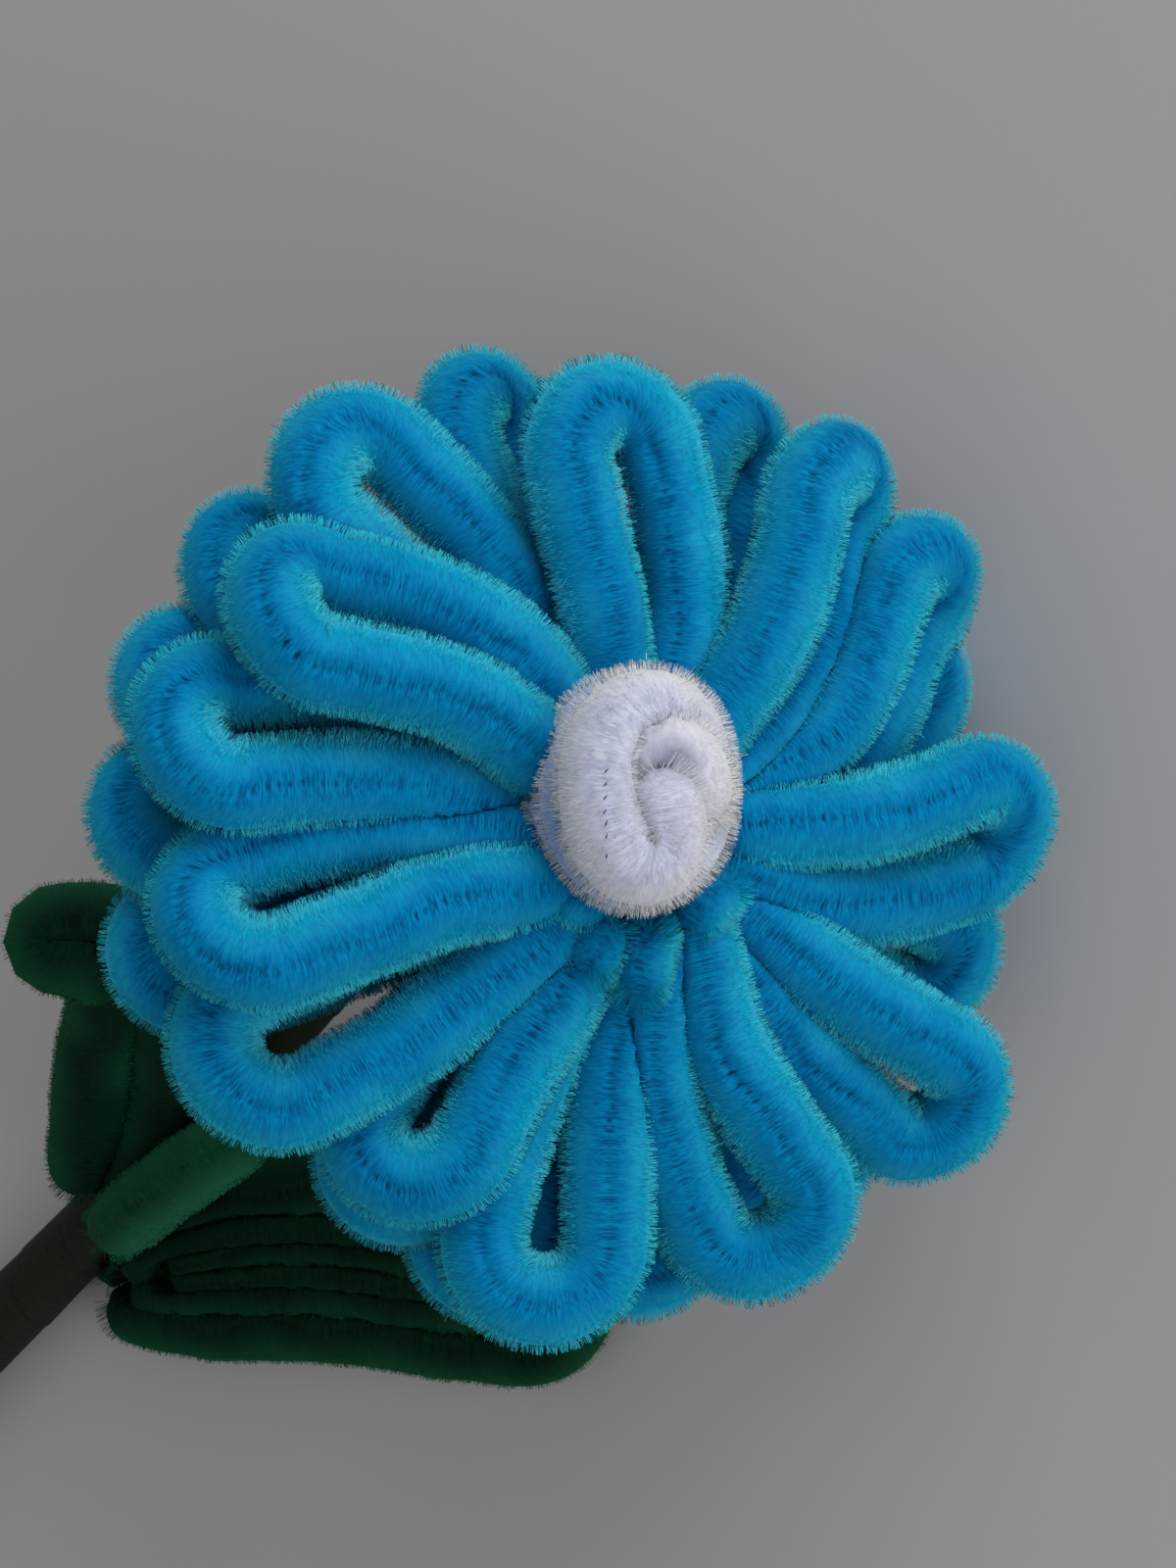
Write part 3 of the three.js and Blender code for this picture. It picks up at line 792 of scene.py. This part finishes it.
# Crinkles for each millimetre along the tape and round it, and for its whole lap.
CRINKLES_PER_MM = (3.5, 0.8, 1.0)
PATCH = 5.8824  # stretches of pile that took the dye alike, in millimetres
# Painted blue light from the petals fades out between these places along the coil.
BOUNCE_LIGHT_FADES = (34.0, 50.0)  # along the coil, in millimetres
SPECKLED_STRETCH = 10.0  # millimetres of strand over which the specks come and go
DYED_GRAIN = 0.4  # millimetres across the grain of a twisted wire, and of the stem's
DRAWN_GRAIN = 0.25
MOTTLE = 111.1  # millimetres across a cloud in the floor's paper


def add_node(tree, kind, settings=None, **inputs):
    """Adds a node, sets its properties, and gives each input a value or another node's output."""
    made = tree.nodes.new("ShaderNode" + kind)
    for name, value in (settings or {}).items():
        setattr(made, name, value)
    for name, value in inputs.items():
        key = int(name[1:]) if name[0] == "_" else name.replace("_", " ")
        if isinstance(value, bpy.types.NodeSocket):
            tree.links.new(value, made.inputs[key])
        else:
            made.inputs[key].default_value = value
    return made


def new_material(name):
    """An empty node material, and its tree."""
    material = bpy.data.materials.new(name)
    material.use_nodes = True
    material.node_tree.nodes.clear()
    return material, material.node_tree


def chenille_pile(name, colours, loose=False, bounce_light=None, glow=(0.3, 0.3, 0.3)):
    """Cut rayon pile: fine streaks across the strand, painted shade beside the partings and painted
    light toward the flanks, painted shade in dark specks in the parting where the wires cross, and
    painted light on the tips and the rim. Its optional second colour is painted blue light, reflected
    from the petals onto the lower turns of a coil, and glow is how far red, green and blue light go on
    through a loose fibre."""
    painted_shade_beside_parting, painted_light_on_flank, in_patches, rim_light_and_sheen_tint, shade_in_parting = (linear(c) for c in colours)
    material, tree = new_material(name)
    pile = add_node(tree, "Attribute", {"attribute_name": "pile"})
    split = add_node(tree, "SeparateXYZ", Vector=pile.outputs["Vector"])
    along, parting, reach = split.outputs
    stretched = add_node(
        tree, "VectorMath", {"operation": "MULTIPLY"}, _0=pile.outputs["Vector"], _1=STREAKS_PER_MM)
    streak = add_node(tree, "TexNoise", Vector=stretched.outputs[0], Scale=1.0, Detail=3.0, Roughness=0.6)
    place = add_node(tree, "TexCoord")
    patch = add_node(tree, "TexNoise", Vector=place.outputs["Object"], Scale=1 / (PATCH * MM), Detail=2.0)
    # Painted shade beside the partings and painted light toward the flanks, with the fibre streaks over
    # them.
    flank = add_node(
        tree, "MapRange", {"interpolation_type": "SMOOTHSTEP"}, Value=parting, From_Min=0.5, From_Max=4.0)
    fine = add_node(
        tree, "MapRange", Value=streak.outputs[0], From_Min=0.3, From_Max=0.7, To_Min=-0.3, To_Max=0.4)
    tone = add_node(
        tree, "Math", {"operation": "MULTIPLY_ADD", "use_clamp": True},
        _0=flank.outputs[0], _1=0.95, _2=fine.outputs[0])
    body = add_node(
        tree, "Mix", {"data_type": "RGBA"},
        _0=tone.outputs[0], _6=painted_shade_beside_parting, _7=painted_light_on_flank,
    )
    shift = add_node(tree, "MapRange", Value=patch.outputs[0], From_Min=0.35, From_Max=0.65, To_Max=0.4)
    varied = add_node(
        tree, "Mix", {"data_type": "RGBA"},
        _0=shift.outputs[0], _6=body.outputs[2], _7=in_patches,
    )
    if bounce_light:
        # The lower turns get painted blue light, reflected from the petals they lie on.
        low = add_node(
            tree, "MapRange", Value=along, From_Min=BOUNCE_LIGHT_FADES[0], From_Max=BOUNCE_LIGHT_FADES[1],
            To_Min=0.9, To_Max=0.0)
        varied = add_node(
            tree, "Mix", {"data_type": "RGBA"},
            _0=low.outputs[0], _6=varied.outputs[2], _7=linear(bounce_light),
        )
    # Painted light on the tips of the fibres toward the flanks.
    tip = add_node(tree, "MapRange", Value=reach, From_Min=0.84, From_Max=0.98, To_Max=0.9)
    tips = add_node(tree, "Math", {"operation": "MULTIPLY"}, _0=tip.outputs[0], _1=flank.outputs[0])
    # Painted light along the whole rim too, where the pile is seen end on.
    rim = add_node(
        tree, "MapRange", {"interpolation_type": "SMOOTHSTEP"},
        Value=parting, From_Min=2.6, From_Max=4.5, To_Max=0.65)
    rim_light_share = add_node(tree, "Math", {"operation": "MAXIMUM"}, _0=tips.outputs[0], _1=rim.outputs[0])
    with_rim_light = add_node(
        tree, "Mix", {"data_type": "RGBA"},
        _0=rim_light_share.outputs[0], _6=varied.outputs[2], _7=rim_light_and_sheen_tint,
    )
    shader = add_node(
        tree, "BsdfPrincipled", Roughness=0.8, Specular_IOR_Level=0.04, Sheen_Weight=0.35,
        Sheen_Roughness=0.4, Sheen_Tint=rim_light_and_sheen_tint)
    if loose:
        # Light that falls on a rayon fibre comes out on all its sides, less what the dye takes.
        shader.inputs["Subsurface Weight"].default_value = 0.6
        shader.inputs["Subsurface Radius"].default_value = glow
        shader.inputs["Subsurface Scale"].default_value = 0.2 * MM
        tree.links.new(with_rim_light.outputs[2], shader.inputs["Base Color"])
    else:
        # Painted shade in the partings.
        shaded = painted_parting_shade(tree, with_rim_light.outputs[2], along, parting, streak.outputs[0], shade_in_parting)
        bump = add_node(tree, "Bump", Strength=0.6, Distance=0.06 * MM, Height=streak.outputs[0])
        tree.links.new(shaded, shader.inputs["Base Color"])
        tree.links.new(bump.outputs[0], shader.inputs["Normal"])
    add_node(tree, "OutputMaterial", Surface=shader.outputs[0])
    return material


def painted_parting_shade(tree, colour, along, parting, streak, dark):
    """The colour with painted shade in dark specks where the pile parts at the twists of the wires:
    ragged, unevenly deep, set a little off their places, and fading out in some stretches; and painted
    shade in fine dark lines beside the parting."""
    twist = add_node(tree, "Math", {"operation": "DIVIDE"}, _0=along, _1=TWIST)
    number = add_node(tree, "Math", {"operation": "FLOOR"}, _0=twist.outputs[0])
    chance = add_node(tree, "TexWhiteNoise", {"noise_dimensions": "1D"}, W=number.outputs[0])
    random = add_node(tree, "SeparateColor", Color=chance.outputs["Color"])
    within = add_node(tree, "Math", {"operation": "FRACT"}, _0=twist.outputs[0])
    centre = add_node(tree, "MapRange", Value=random.outputs[0], To_Min=0.3, To_Max=0.7)
    local = add_node(tree, "Math", {"operation": "SUBTRACT"}, _0=within.outputs[0], _1=centre.outputs[0])
    spot = add_node(tree, "CombineXYZ", X=local.outputs[0], Y=parting)
    scaled = add_node(tree, "VectorMath", {"operation": "MULTIPLY"}, _0=spot.outputs[0], _1=(3.8, 2.3, 0.0))
    away = add_node(tree, "VectorMath", {"operation": "LENGTH"}, _0=scaled.outputs[0])
    ragged = add_node(
        tree, "Math", {"operation": "MULTIPLY_ADD"}, _0=streak, _1=2.4, _2=away.outputs["Value"])
    speck = add_node(
        tree, "MapRange", Value=ragged.outputs[0], From_Min=1.3, From_Max=2.3, To_Min=1.0, To_Max=0.0)
    depth = add_node(tree, "MapRange", Value=random.outputs[1], From_Min=-0.3, From_Max=0.5, To_Min=0.15)
    slow = add_node(
        tree, "TexNoise", {"noise_dimensions": "1D"}, W=along, Scale=1 / SPECKLED_STRETCH, Detail=1.0)
    stretch = add_node(
        tree, "MapRange", Value=slow.outputs[0], From_Min=0.4, From_Max=0.62, To_Min=0.1, To_Max=0.9)
    deep = add_node(tree, "Math", {"operation": "MULTIPLY"}, _0=speck.outputs[0], _1=depth.outputs[0])
    shown = add_node(tree, "Math", {"operation": "MULTIPLY"}, _0=deep.outputs[0], _1=stretch.outputs[0])
    # Painted shade in fine dark lines between the fibres beside the parting.
    near = add_node(tree, "MapRange", Value=parting, From_Max=1.1, To_Min=1.0, To_Max=0.0)
    thin = add_node(tree, "MapRange", Value=streak, From_Min=0.36, From_Max=0.5, To_Min=0.7, To_Max=0.0)
    lines = add_node(tree, "Math", {"operation": "MULTIPLY"}, _0=near.outputs[0], _1=thin.outputs[0])
    shade = add_node(tree, "Math", {"operation": "MAXIMUM"}, _0=shown.outputs[0], _1=lines.outputs[0])
    return add_node(
        tree, "Mix", {"data_type": "RGBA"}, _0=shade.outputs[0], _6=colour, _7=dark,
    ).outputs[2]


def twisted_wire(name, hex_colour):
    """Thin steel wire, tinted toward the colour of its pile: small cool glints."""
    material, tree = new_material(name)
    place = add_node(tree, "TexCoord")
    grain = add_node(
        tree, "TexNoise", Vector=place.outputs["Object"], Scale=1 / (DYED_GRAIN * MM), Detail=2.0)
    rough = add_node(tree, "MapRange", Value=grain.outputs[0], To_Min=0.25, To_Max=0.5)
    shader = add_node(
        tree, "BsdfPrincipled", Base_Color=linear(hex_colour), Metallic=1.0, Roughness=rough.outputs[0])
    add_node(tree, "OutputMaterial", Surface=shader.outputs[0])
    return material


def drawn_steel(name):
    """Bright steel wire, drawn and cut: dull grey with faint scratches."""
    material, tree = new_material(name)
    place = add_node(tree, "TexCoord")
    grain = add_node(
        tree, "TexNoise", Vector=place.outputs["Object"], Scale=1 / (DRAWN_GRAIN * MM), Detail=3.0)
    rough = add_node(tree, "MapRange", Value=grain.outputs[0], To_Min=0.3, To_Max=0.6)
    bump = add_node(tree, "Bump", Strength=0.4, Distance=0.03 * MM, Height=grain.outputs[0])
    shader = add_node(
        tree, "BsdfPrincipled", Base_Color=linear("#9aa0a4"), Metallic=1.0,
        Roughness=rough.outputs[0], Normal=bump.outputs[0])
    add_node(tree, "OutputMaterial", Surface=shader.outputs[0])
    return material


def floral_tape(name, hex_colours):
    """Waxed crepe paper tape wound on in a spiral: fine crinkles across it, and painted shade in the strip
    beside each lap's raised edge.
    """
    material, tree = new_material(name)
    pile = add_node(tree, "Attribute", {"attribute_name": "pile"})
    stretched = add_node(
        tree, "VectorMath", {"operation": "MULTIPLY"}, _0=pile.outputs["Vector"], _1=CRINKLES_PER_MM)
    crinkle = add_node(tree, "TexNoise", Vector=stretched.outputs[0], Scale=1.0, Detail=4.0, Roughness=0.65)
    split = add_node(tree, "SeparateXYZ", Vector=pile.outputs["Vector"])
    tone = add_node(tree, "MapRange", Value=crinkle.outputs[0], From_Min=0.3, From_Max=0.7)
    colour = add_node(
        tree, "Mix", {"data_type": "RGBA"},
        _0=tone.outputs[0], _6=linear(hex_colours[0]), _7=linear(hex_colours[1]),
    )
    # Painted shade in the low strip beside the raised edge of each turn.
    lap = add_node(
        tree, "MapRange", Value=split.outputs[2], From_Min=0.0, From_Max=0.12, To_Min=0.65, To_Max=0.0)
    shaded_under_laps = add_node(
        tree, "Mix", {"data_type": "RGBA"},
        _0=lap.outputs[0], _6=colour.outputs[2], _7=linear("#070c06"),
    )
    bump = add_node(tree, "Bump", Strength=0.8, Distance=0.2 * MM, Height=crinkle.outputs[0])
    shader = add_node(
        tree, "BsdfPrincipled", Base_Color=shaded_under_laps.outputs[2], Roughness=0.6, Normal=bump.outputs[0],
        Specular_IOR_Level=0.15)
    add_node(tree, "OutputMaterial", Surface=shader.outputs[0])
    return material


def studio_floor(name, hex_colour):
    """A plain matt sweep of pale paper with the faintest mottling."""
    material, tree = new_material(name)
    place = add_node(tree, "TexCoord")
    mottle = add_node(tree, "TexNoise", Vector=place.outputs["Object"], Scale=1 / (MOTTLE * MM), Detail=3.0)
    light = linear(hex_colour)
    dark = (*(c * 0.96 for c in light[:3]), 1)
    tone = add_node(tree, "MapRange", Value=mottle.outputs[0])
    colour = add_node(tree, "Mix", {"data_type": "RGBA"}, _0=tone.outputs[0], _6=dark, _7=light)
    shader = add_node(tree, "BsdfPrincipled", Base_Color=colour.outputs[2], Roughness=0.9)
    add_node(tree, "OutputMaterial", Surface=shader.outputs[0])
    return material


# ---------------------------------------------------------------------------------------------
# Settings that a user would change
# ---------------------------------------------------------------------------------------------

class ChenillePileSettings(bpy.types.PropertyGroup):
    """Sizes of a full strand's pile."""

    radius: bpy.props.FloatProperty(
        name="Pile radius", description="From the wires to the tips",
        default=0.00338, min=0.001, unit="LENGTH", subtype="DISTANCE", precision=5)
    body_radius: bpy.props.FloatProperty(
        name="Packed radius", description="Where the pile is packed solid at the flanks",
        default=0.00276, min=0.0005, unit="LENGTH", subtype="DISTANCE", precision=5)
    crown_radius: bpy.props.FloatProperty(
        name="Crown radius", description="Where the pile is packed solid beside the partings",
        default=0.00302, min=0.0005, unit="LENGTH", subtype="DISTANCE", precision=5)
    parting_depth: bpy.props.FloatProperty(
        name="Parting depth", description="How deep a parting is, as a share of the packed radius",
        default=0.12, min=0, max=0.9, subtype="FACTOR")
    fibre_width: bpy.props.FloatProperty(
        name="Fibre width", description="Width of one tuft of fibres",
        default=0.000042, min=0.00002, unit="LENGTH", subtype="DISTANCE", precision=5)
    fibres_per_mm: bpy.props.IntProperty(
        name="Fibres", description="How many fibres for each millimetre of strand", default=310, min=1)
    mingling: bpy.props.FloatProperty(
        name="Mingling", description="How far fibres reach past the middle between two strands",
        default=0.00025, unit="LENGTH", subtype="DISTANCE", precision=5)


class ColourSettings(bpy.types.PropertyGroup):
    """Colours, as sRGB hex. A strand has five: beside its partings and on its flanks, which paint shade
    at the partings and light toward the flanks; in patches that took the dye differently; painted light
    on its tips and rim, which also tints the sheen; and painted shade in its partings."""

    petals: bpy.props.StringProperty(
        name="Petals", description="Five colours of the petals' pile",
        default="#0070aa #08aed2 #0084be #46c8ee #002854")
    centre: bpy.props.StringProperty(
        name="Centre", description="Five colours of the white coil's pile",
        default="#c2c8e2 #f0f0f4 #e2e4f1 #f3f3f3 #9a9ab9")
    # Painted blue light, reflected from the petals onto the coil's lower turns.
    centre_bounce_light: bpy.props.StringProperty(
        name="Centre, low", description="Blue that the petals cast on the coil's lower turns",
        default="#8fb6ea")
    centre_inside: bpy.props.StringProperty(
        name="Centre, inside", description="Five colours of the pile in the coil's middle",
        default="#cdd1e4 #f0f0f4 #e2e4f1 #f3f3f3 #d3d5e8")
    leaves: bpy.props.StringProperty(
        name="Leaves", description="Five colours of the dark leaves' pile",
        default="#082418 #0e3e28 #0a321f #1a5539 #03120c")
    small_leaf: bpy.props.StringProperty(
        name="Small leaf", description="Five colours of the small leaf's pile",
        default="#10432b #1b5d3e #164e32 #2d7351 #081f13")
    tape: bpy.props.StringProperty(
        name="Tape", description="Dark and light of the stem's tape", default="#0f190e #1a2717")
    floor: bpy.props.StringProperty(name="Floor", description="The studio's floor", default="#b9b9bb")


def pile_of(context):
    """The pile's sizes, in millimetres."""
    pile = context.scene.chenille_pile
    lengths = ("radius", "body_radius", "crown_radius", "fibre_width", "mingling")
    sizes = {name: round(getattr(pile, name) / MM, 4) for name in lengths}
    return SimpleNamespace(**sizes, parting_depth=pile.parting_depth, fibres_per_mm=pile.fibres_per_mm)


# ---------------------------------------------------------------------------------------------
# Operators
# ---------------------------------------------------------------------------------------------

STRANDS = {}


def strands():
    """Every strand's line, worked out once."""
    if not STRANDS:
        STRANDS.update(head_strands())
        STRANDS.update(leaf_strands())
        STRANDS["solids"] = everything_solid(STRANDS)
    return STRANDS


def pile_materials(name, colours, wire_colour, bounce_light=None, glow=(0.3, 0.3, 0.3)):
    """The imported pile, the wires and the loose fibres of one colour of strand."""
    colours = colours.split()
    names = [f"{name} rayon pile", f"{name} twist wire", f"{name} loose fibres"]
    if names[0] not in bpy.data.materials:
        chenille_pile(names[0], colours, False, bounce_light)
        twisted_wire(names[1], wire_colour)
        chenille_pile(names[2], colours, True, bounce_light, glow)
    return [bpy.data.materials[n] for n in names]


def build_named(prefix, context, materials, slot, **options):
    """Builds each strand whose name starts with prefix, and puts it in its solid's place."""
    lines = strands()
    numbered = enumerate(n for n in lines if n != "solids")
    chosen = [(number, name) for number, name in numbered if name.startswith(prefix)]
    if not chosen:
        raise RuntimeError("no strand is named " + prefix)
    for number, name in chosen:
        mesh = Mesh()
        StrandPile(lines[name], number, lines["solids"], pile_of(context), **options).lay(mesh)
        piece = mesh.make(name + "_strand", materials)
        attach(piece, "root")
        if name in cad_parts:
            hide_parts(name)


def blue_pile(context):
    return pile_materials("blue", context.scene.flower_colours.petals, "#3f6f8c", glow=(0.01, 0.3, 0.4))


class FLOWER_OT_front_petals(bpy.types.Operator):
    """Build the thirteen loops of the upper ring"""

    bl_idname = "flower.front_petals"
    bl_label = "Front Petals"

    def execute(self, context):
        build_named("front_petal", context, blue_pile(context), "blue_chenille")
        return {"FINISHED"}


class FLOWER_OT_back_petals(bpy.types.Operator):
    """Build the twelve loops of the lower ring"""

    bl_idname = "flower.back_petals"
    bl_label = "Back Petals"

    def execute(self, context):
        build_named("back_petal", context, blue_pile(context), "deep_blue_chenille")
        return {"FINISHED"}


class FLOWER_OT_centre(bpy.types.Operator):
    """Build the white strand coiled on the face"""

    bl_idname = "flower.centre"
    bl_label = "Coiled Centre"

    def execute(self, context):
        colours = context.scene.flower_colours
        # The coil's lower turns get painted blue light from the petals.
        materials = pile_materials("white", colours.centre, "#5f6484", colours.centre_bounce_light)
        build_named("centre_coil", context, materials, "white_chenille", **COIL_PILE, bare=CENTRE_BARE)
        plain = pile_materials("inner white", colours.centre_inside, "#b0b2c2")
        build_named("centre_filling", context, plain, "white_chenille", **FILLING_PILE)
        return {"FINISHED"}


class FLOWER_OT_leaves(bpy.types.Operator):
    """Build the looped leaves"""

    bl_idname = "flower.leaves"
    bl_label = "Leaves"

    def execute(self, context):
        colours = context.scene.flower_colours
        materials = pile_materials("green", colours.leaves, "#2f4a3c", glow=(0.02, 0.2, 0.1))
        for prefix in ("large_leaf", "curled_leaf"):
            build_named(prefix, context, materials, "green_chenille", **LEAF_PILE)
        pale = pile_materials("pale green", colours.small_leaf, "#2f4a3c", glow=(0.02, 0.2, 0.1))
        build_named("small_leaf", context, pale, "green_chenille", **LEAF_PILE, girth=0.85)
        return {"FINISHED"}


class FLOWER_OT_hub(bpy.types.Operator):
    """Build the bundle of strand ends that the petals spring from"""

    bl_idname = "flower.hub"
    bl_label = "Hub"

    def execute(self, context):
        ends = hub_strands()
        first = len(strands())
        # The ends squeeze each other and the petals' roots, and not the hub they make up.
        solids = strands()["solids"]
        rows = [solids[solids[:, 4] != HUB_NUMBER]]
        for number, strand in enumerate(ends.values(), first):
            n = len(strand.points)
            rows.append(np.column_stack([strand.points, np.zeros(n), np.full(n, number), strand.place]))
        solids = np.vstack(rows)
        mesh = Mesh()
        mesh.bands = len(ends)
        for number, strand in enumerate(ends.values(), first):
            mesh.band = number - first
            tuft = strand.name.startswith("face_tuft")
            girth, bushy = (TUFT_GIRTH, 1.0) if tuft else (HUB_GIRTH, 0.0)
            sizes = {"girth": girth, "density": 1 + 0.6 * bushy, "bushy": bushy}
            StrandPile(strand, number, solids, pile_of(context), **sizes).lay(mesh)
            if tuft:
                # A glimpse of the twisted wires that hold the strands together.
                bare = np.array([strand.length - 0.3])
                add_stitches(mesh, strand, bare, np.array([1.9]), np.array([0.2]), TUFT_GLINT)
        piece = mesh.make("hub_bundle", blue_pile(context))
        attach(piece, "root")
        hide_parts("hub")
        return {"FINISHED"}


class FLOWER_OT_stem(bpy.types.Operator):
    """Build the taped stem and its wire"""

    bl_idname = "flower.stem"
    bl_label = "Stem"

    def execute(self, context):
        line, length = stem_line(TAPE_START, TAPE_END_GAP, 0.4)
        tangents = unit(np.gradient(line, axis=0))
        across = unit(np.cross(tangents, (0, 0, 1.0)))
        upward = np.cross(tangents, across)
        sides = 40
        turn = np.linspace(0, 2 * math.pi, sides, endpoint=False)
        place = np.linspace(0, length, len(line))
        lap = (place[:, None] / TAPE_LAP + turn[None] / (2 * math.pi)) % 1.0
        rng = np.random.default_rng(SEED)
        lumps = 0.05 * slow_noise(rng, len(line), 8, 18)
        radius = tape_radius(np.linspace(0, 1, len(line)))[:, None] - LAP_STEP + LAP_STEP * lap
        radius = radius + lumps[:, None]
        out = np.cos(turn)[None, :, None] * across[:, None] + np.sin(turn)[None, :, None] * upward[:, None]
        rings = line[:, None] + out * radius[..., None]
        rings[..., 2] = np.maximum(rings[..., 2], 0.01)
        marks = np.stack([place[:, None] + turn[None] * 0, turn[None] * radius, lap], -1)
        mesh = Mesh()
        add_tube(mesh, line, rings, marks)
        tape_colours = context.scene.flower_colours.tape.split()
        piece = mesh.make("stem_tape_wrap", [floral_tape("waxed crepe tape", tape_colours)])
        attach(piece, "root")
        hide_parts("stem_tape")

        wire_line, _ = stem_line(STEM_START, 0, 1.0)
        curve = bpy.data.curves.new("stem_core", "CURVE")
        curve.dimensions = "3D"
        curve.bevel_depth = WIRE_RADIUS * MM
        curve.bevel_resolution = 4
        curve.use_fill_caps = True
        spline = curve.splines.new("POLY")
        spline.points.add(len(wire_line) - 1)
        spline.points.foreach_set("co", np.column_stack([wire_line * MM, np.ones(len(wire_line))]).ravel())
        wire = bpy.data.objects.new("stem_core", curve)
        context.scene.collection.objects.link(wire)
        bpy.ops.object.select_all(action="DESELECT")
        wire.select_set(True)
        context.view_layer.objects.active = wire
        bpy.ops.object.convert(target="MESH")
        wire = context.object
        wire.data.materials.clear()
        wire.data.materials.append(drawn_steel("drawn steel wire"))
        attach(wire, "root")
        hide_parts("stem_wire")
        return {"FINISHED"}


class FLOWER_OT_stage(bpy.types.Operator):
    """Set up the floor, the lights and the camera"""

    bl_idname = "flower.stage"
    bl_label = "Stage"

    def execute(self, context):
        bpy.ops.object.select_all(action="DESELECT")
        bpy.ops.mesh.primitive_plane_add(size=FLOOR_WIDTH, location=(0, 0, 0))
        floor = context.object
        floor.name = "floor"
        floor.data.materials.append(studio_floor("matt paper sweep", context.scene.flower_colours.floor))
        target = HUB_PLACE * MM
        for name, direction, size, power in (
            ("key", CAMERA_UP * 0.75 + CAMERA_BACK * 0.62 + CAMERA_RIGHT * 0.22, 0.6, 3.5),
            ("fill", CAMERA_BACK * 0.9 - CAMERA_UP * 0.35 + CAMERA_RIGHT * 0.9, 0.8, 3.0),
        ):
            where = target + unit(direction) * LAMP_DISTANCE
            bpy.ops.object.light_add(type="AREA", location=where)
            lamp = context.object
            lamp.name = name
            lamp.data.size = size
            lamp.data.energy = power
            aim = Vector((target - where).tolist())
            lamp.rotation_euler = aim.to_track_quat("-Z", "Y").to_euler()
        world = bpy.data.worlds.new("soft studio")
        context.scene.world = world
        world.use_nodes = True
        world.node_tree.nodes["Background"].inputs[0].default_value = (1.0, 0.98, 0.96, 1)
        world.node_tree.nodes["Background"].inputs[1].default_value = 0.33
        camera = bpy.data.objects.new("camera", bpy.data.cameras.new("camera"))
        context.scene.collection.objects.link(camera)
        square, signs = np.linalg.qr(np.column_stack([CAMERA_RIGHT, CAMERA_UP, CAMERA_BACK]))
        axes = square * np.sign(np.diag(signs))
        where = (HUB_PLACE + CAMERA_FROM_HUB) * MM
        pose = np.eye(4)
        pose[:3, :3], pose[:3, 3] = axes, where
        camera.matrix_world = Matrix(pose.tolist())
        camera.data.lens = CAMERA_LENS
        camera.data.sensor_width = 36
        camera.data.clip_start = 0.01
        camera.data.clip_end = 20
        context.scene.camera = camera
        context.scene.view_settings.view_transform = "Standard"
        return {"FINISHED"}


class FLOWER_PT_panel(bpy.types.Panel):
    """The flower's pieces, in the sidebar"""

    bl_idname = "FLOWER_PT_panel"
    bl_label = "Chenille Flower"
    bl_space_type = "VIEW_3D"
    bl_region_type = "UI"
    bl_category = "Flower"

    def draw(self, context):
        for operator in OPERATORS:
            self.layout.operator(operator.bl_idname)


OPERATORS = (
    FLOWER_OT_front_petals, FLOWER_OT_back_petals, FLOWER_OT_centre, FLOWER_OT_hub,
    FLOWER_OT_stem, FLOWER_OT_leaves, FLOWER_OT_stage,
)
CLASSES = (ChenillePileSettings, ColourSettings, *OPERATORS, FLOWER_PT_panel)


def register():
    for cls in CLASSES:
        bpy.utils.register_class(cls)
    bpy.types.Scene.chenille_pile = bpy.props.PointerProperty(type=ChenillePileSettings)
    bpy.types.Scene.flower_colours = bpy.props.PointerProperty(type=ColourSettings)


def unregister():
    del bpy.types.Scene.flower_colours
    del bpy.types.Scene.chenille_pile
    for cls in reversed(CLASSES):
        bpy.utils.unregister_class(cls)


def main():
    register()
    bpy.ops.flower.front_petals()
    bpy.ops.flower.back_petals()
    bpy.ops.flower.centre()
    bpy.ops.flower.hub()
    bpy.ops.flower.stem()
    bpy.ops.flower.leaves()
    bpy.ops.flower.stage()


if __name__ == "__main__":
    main()
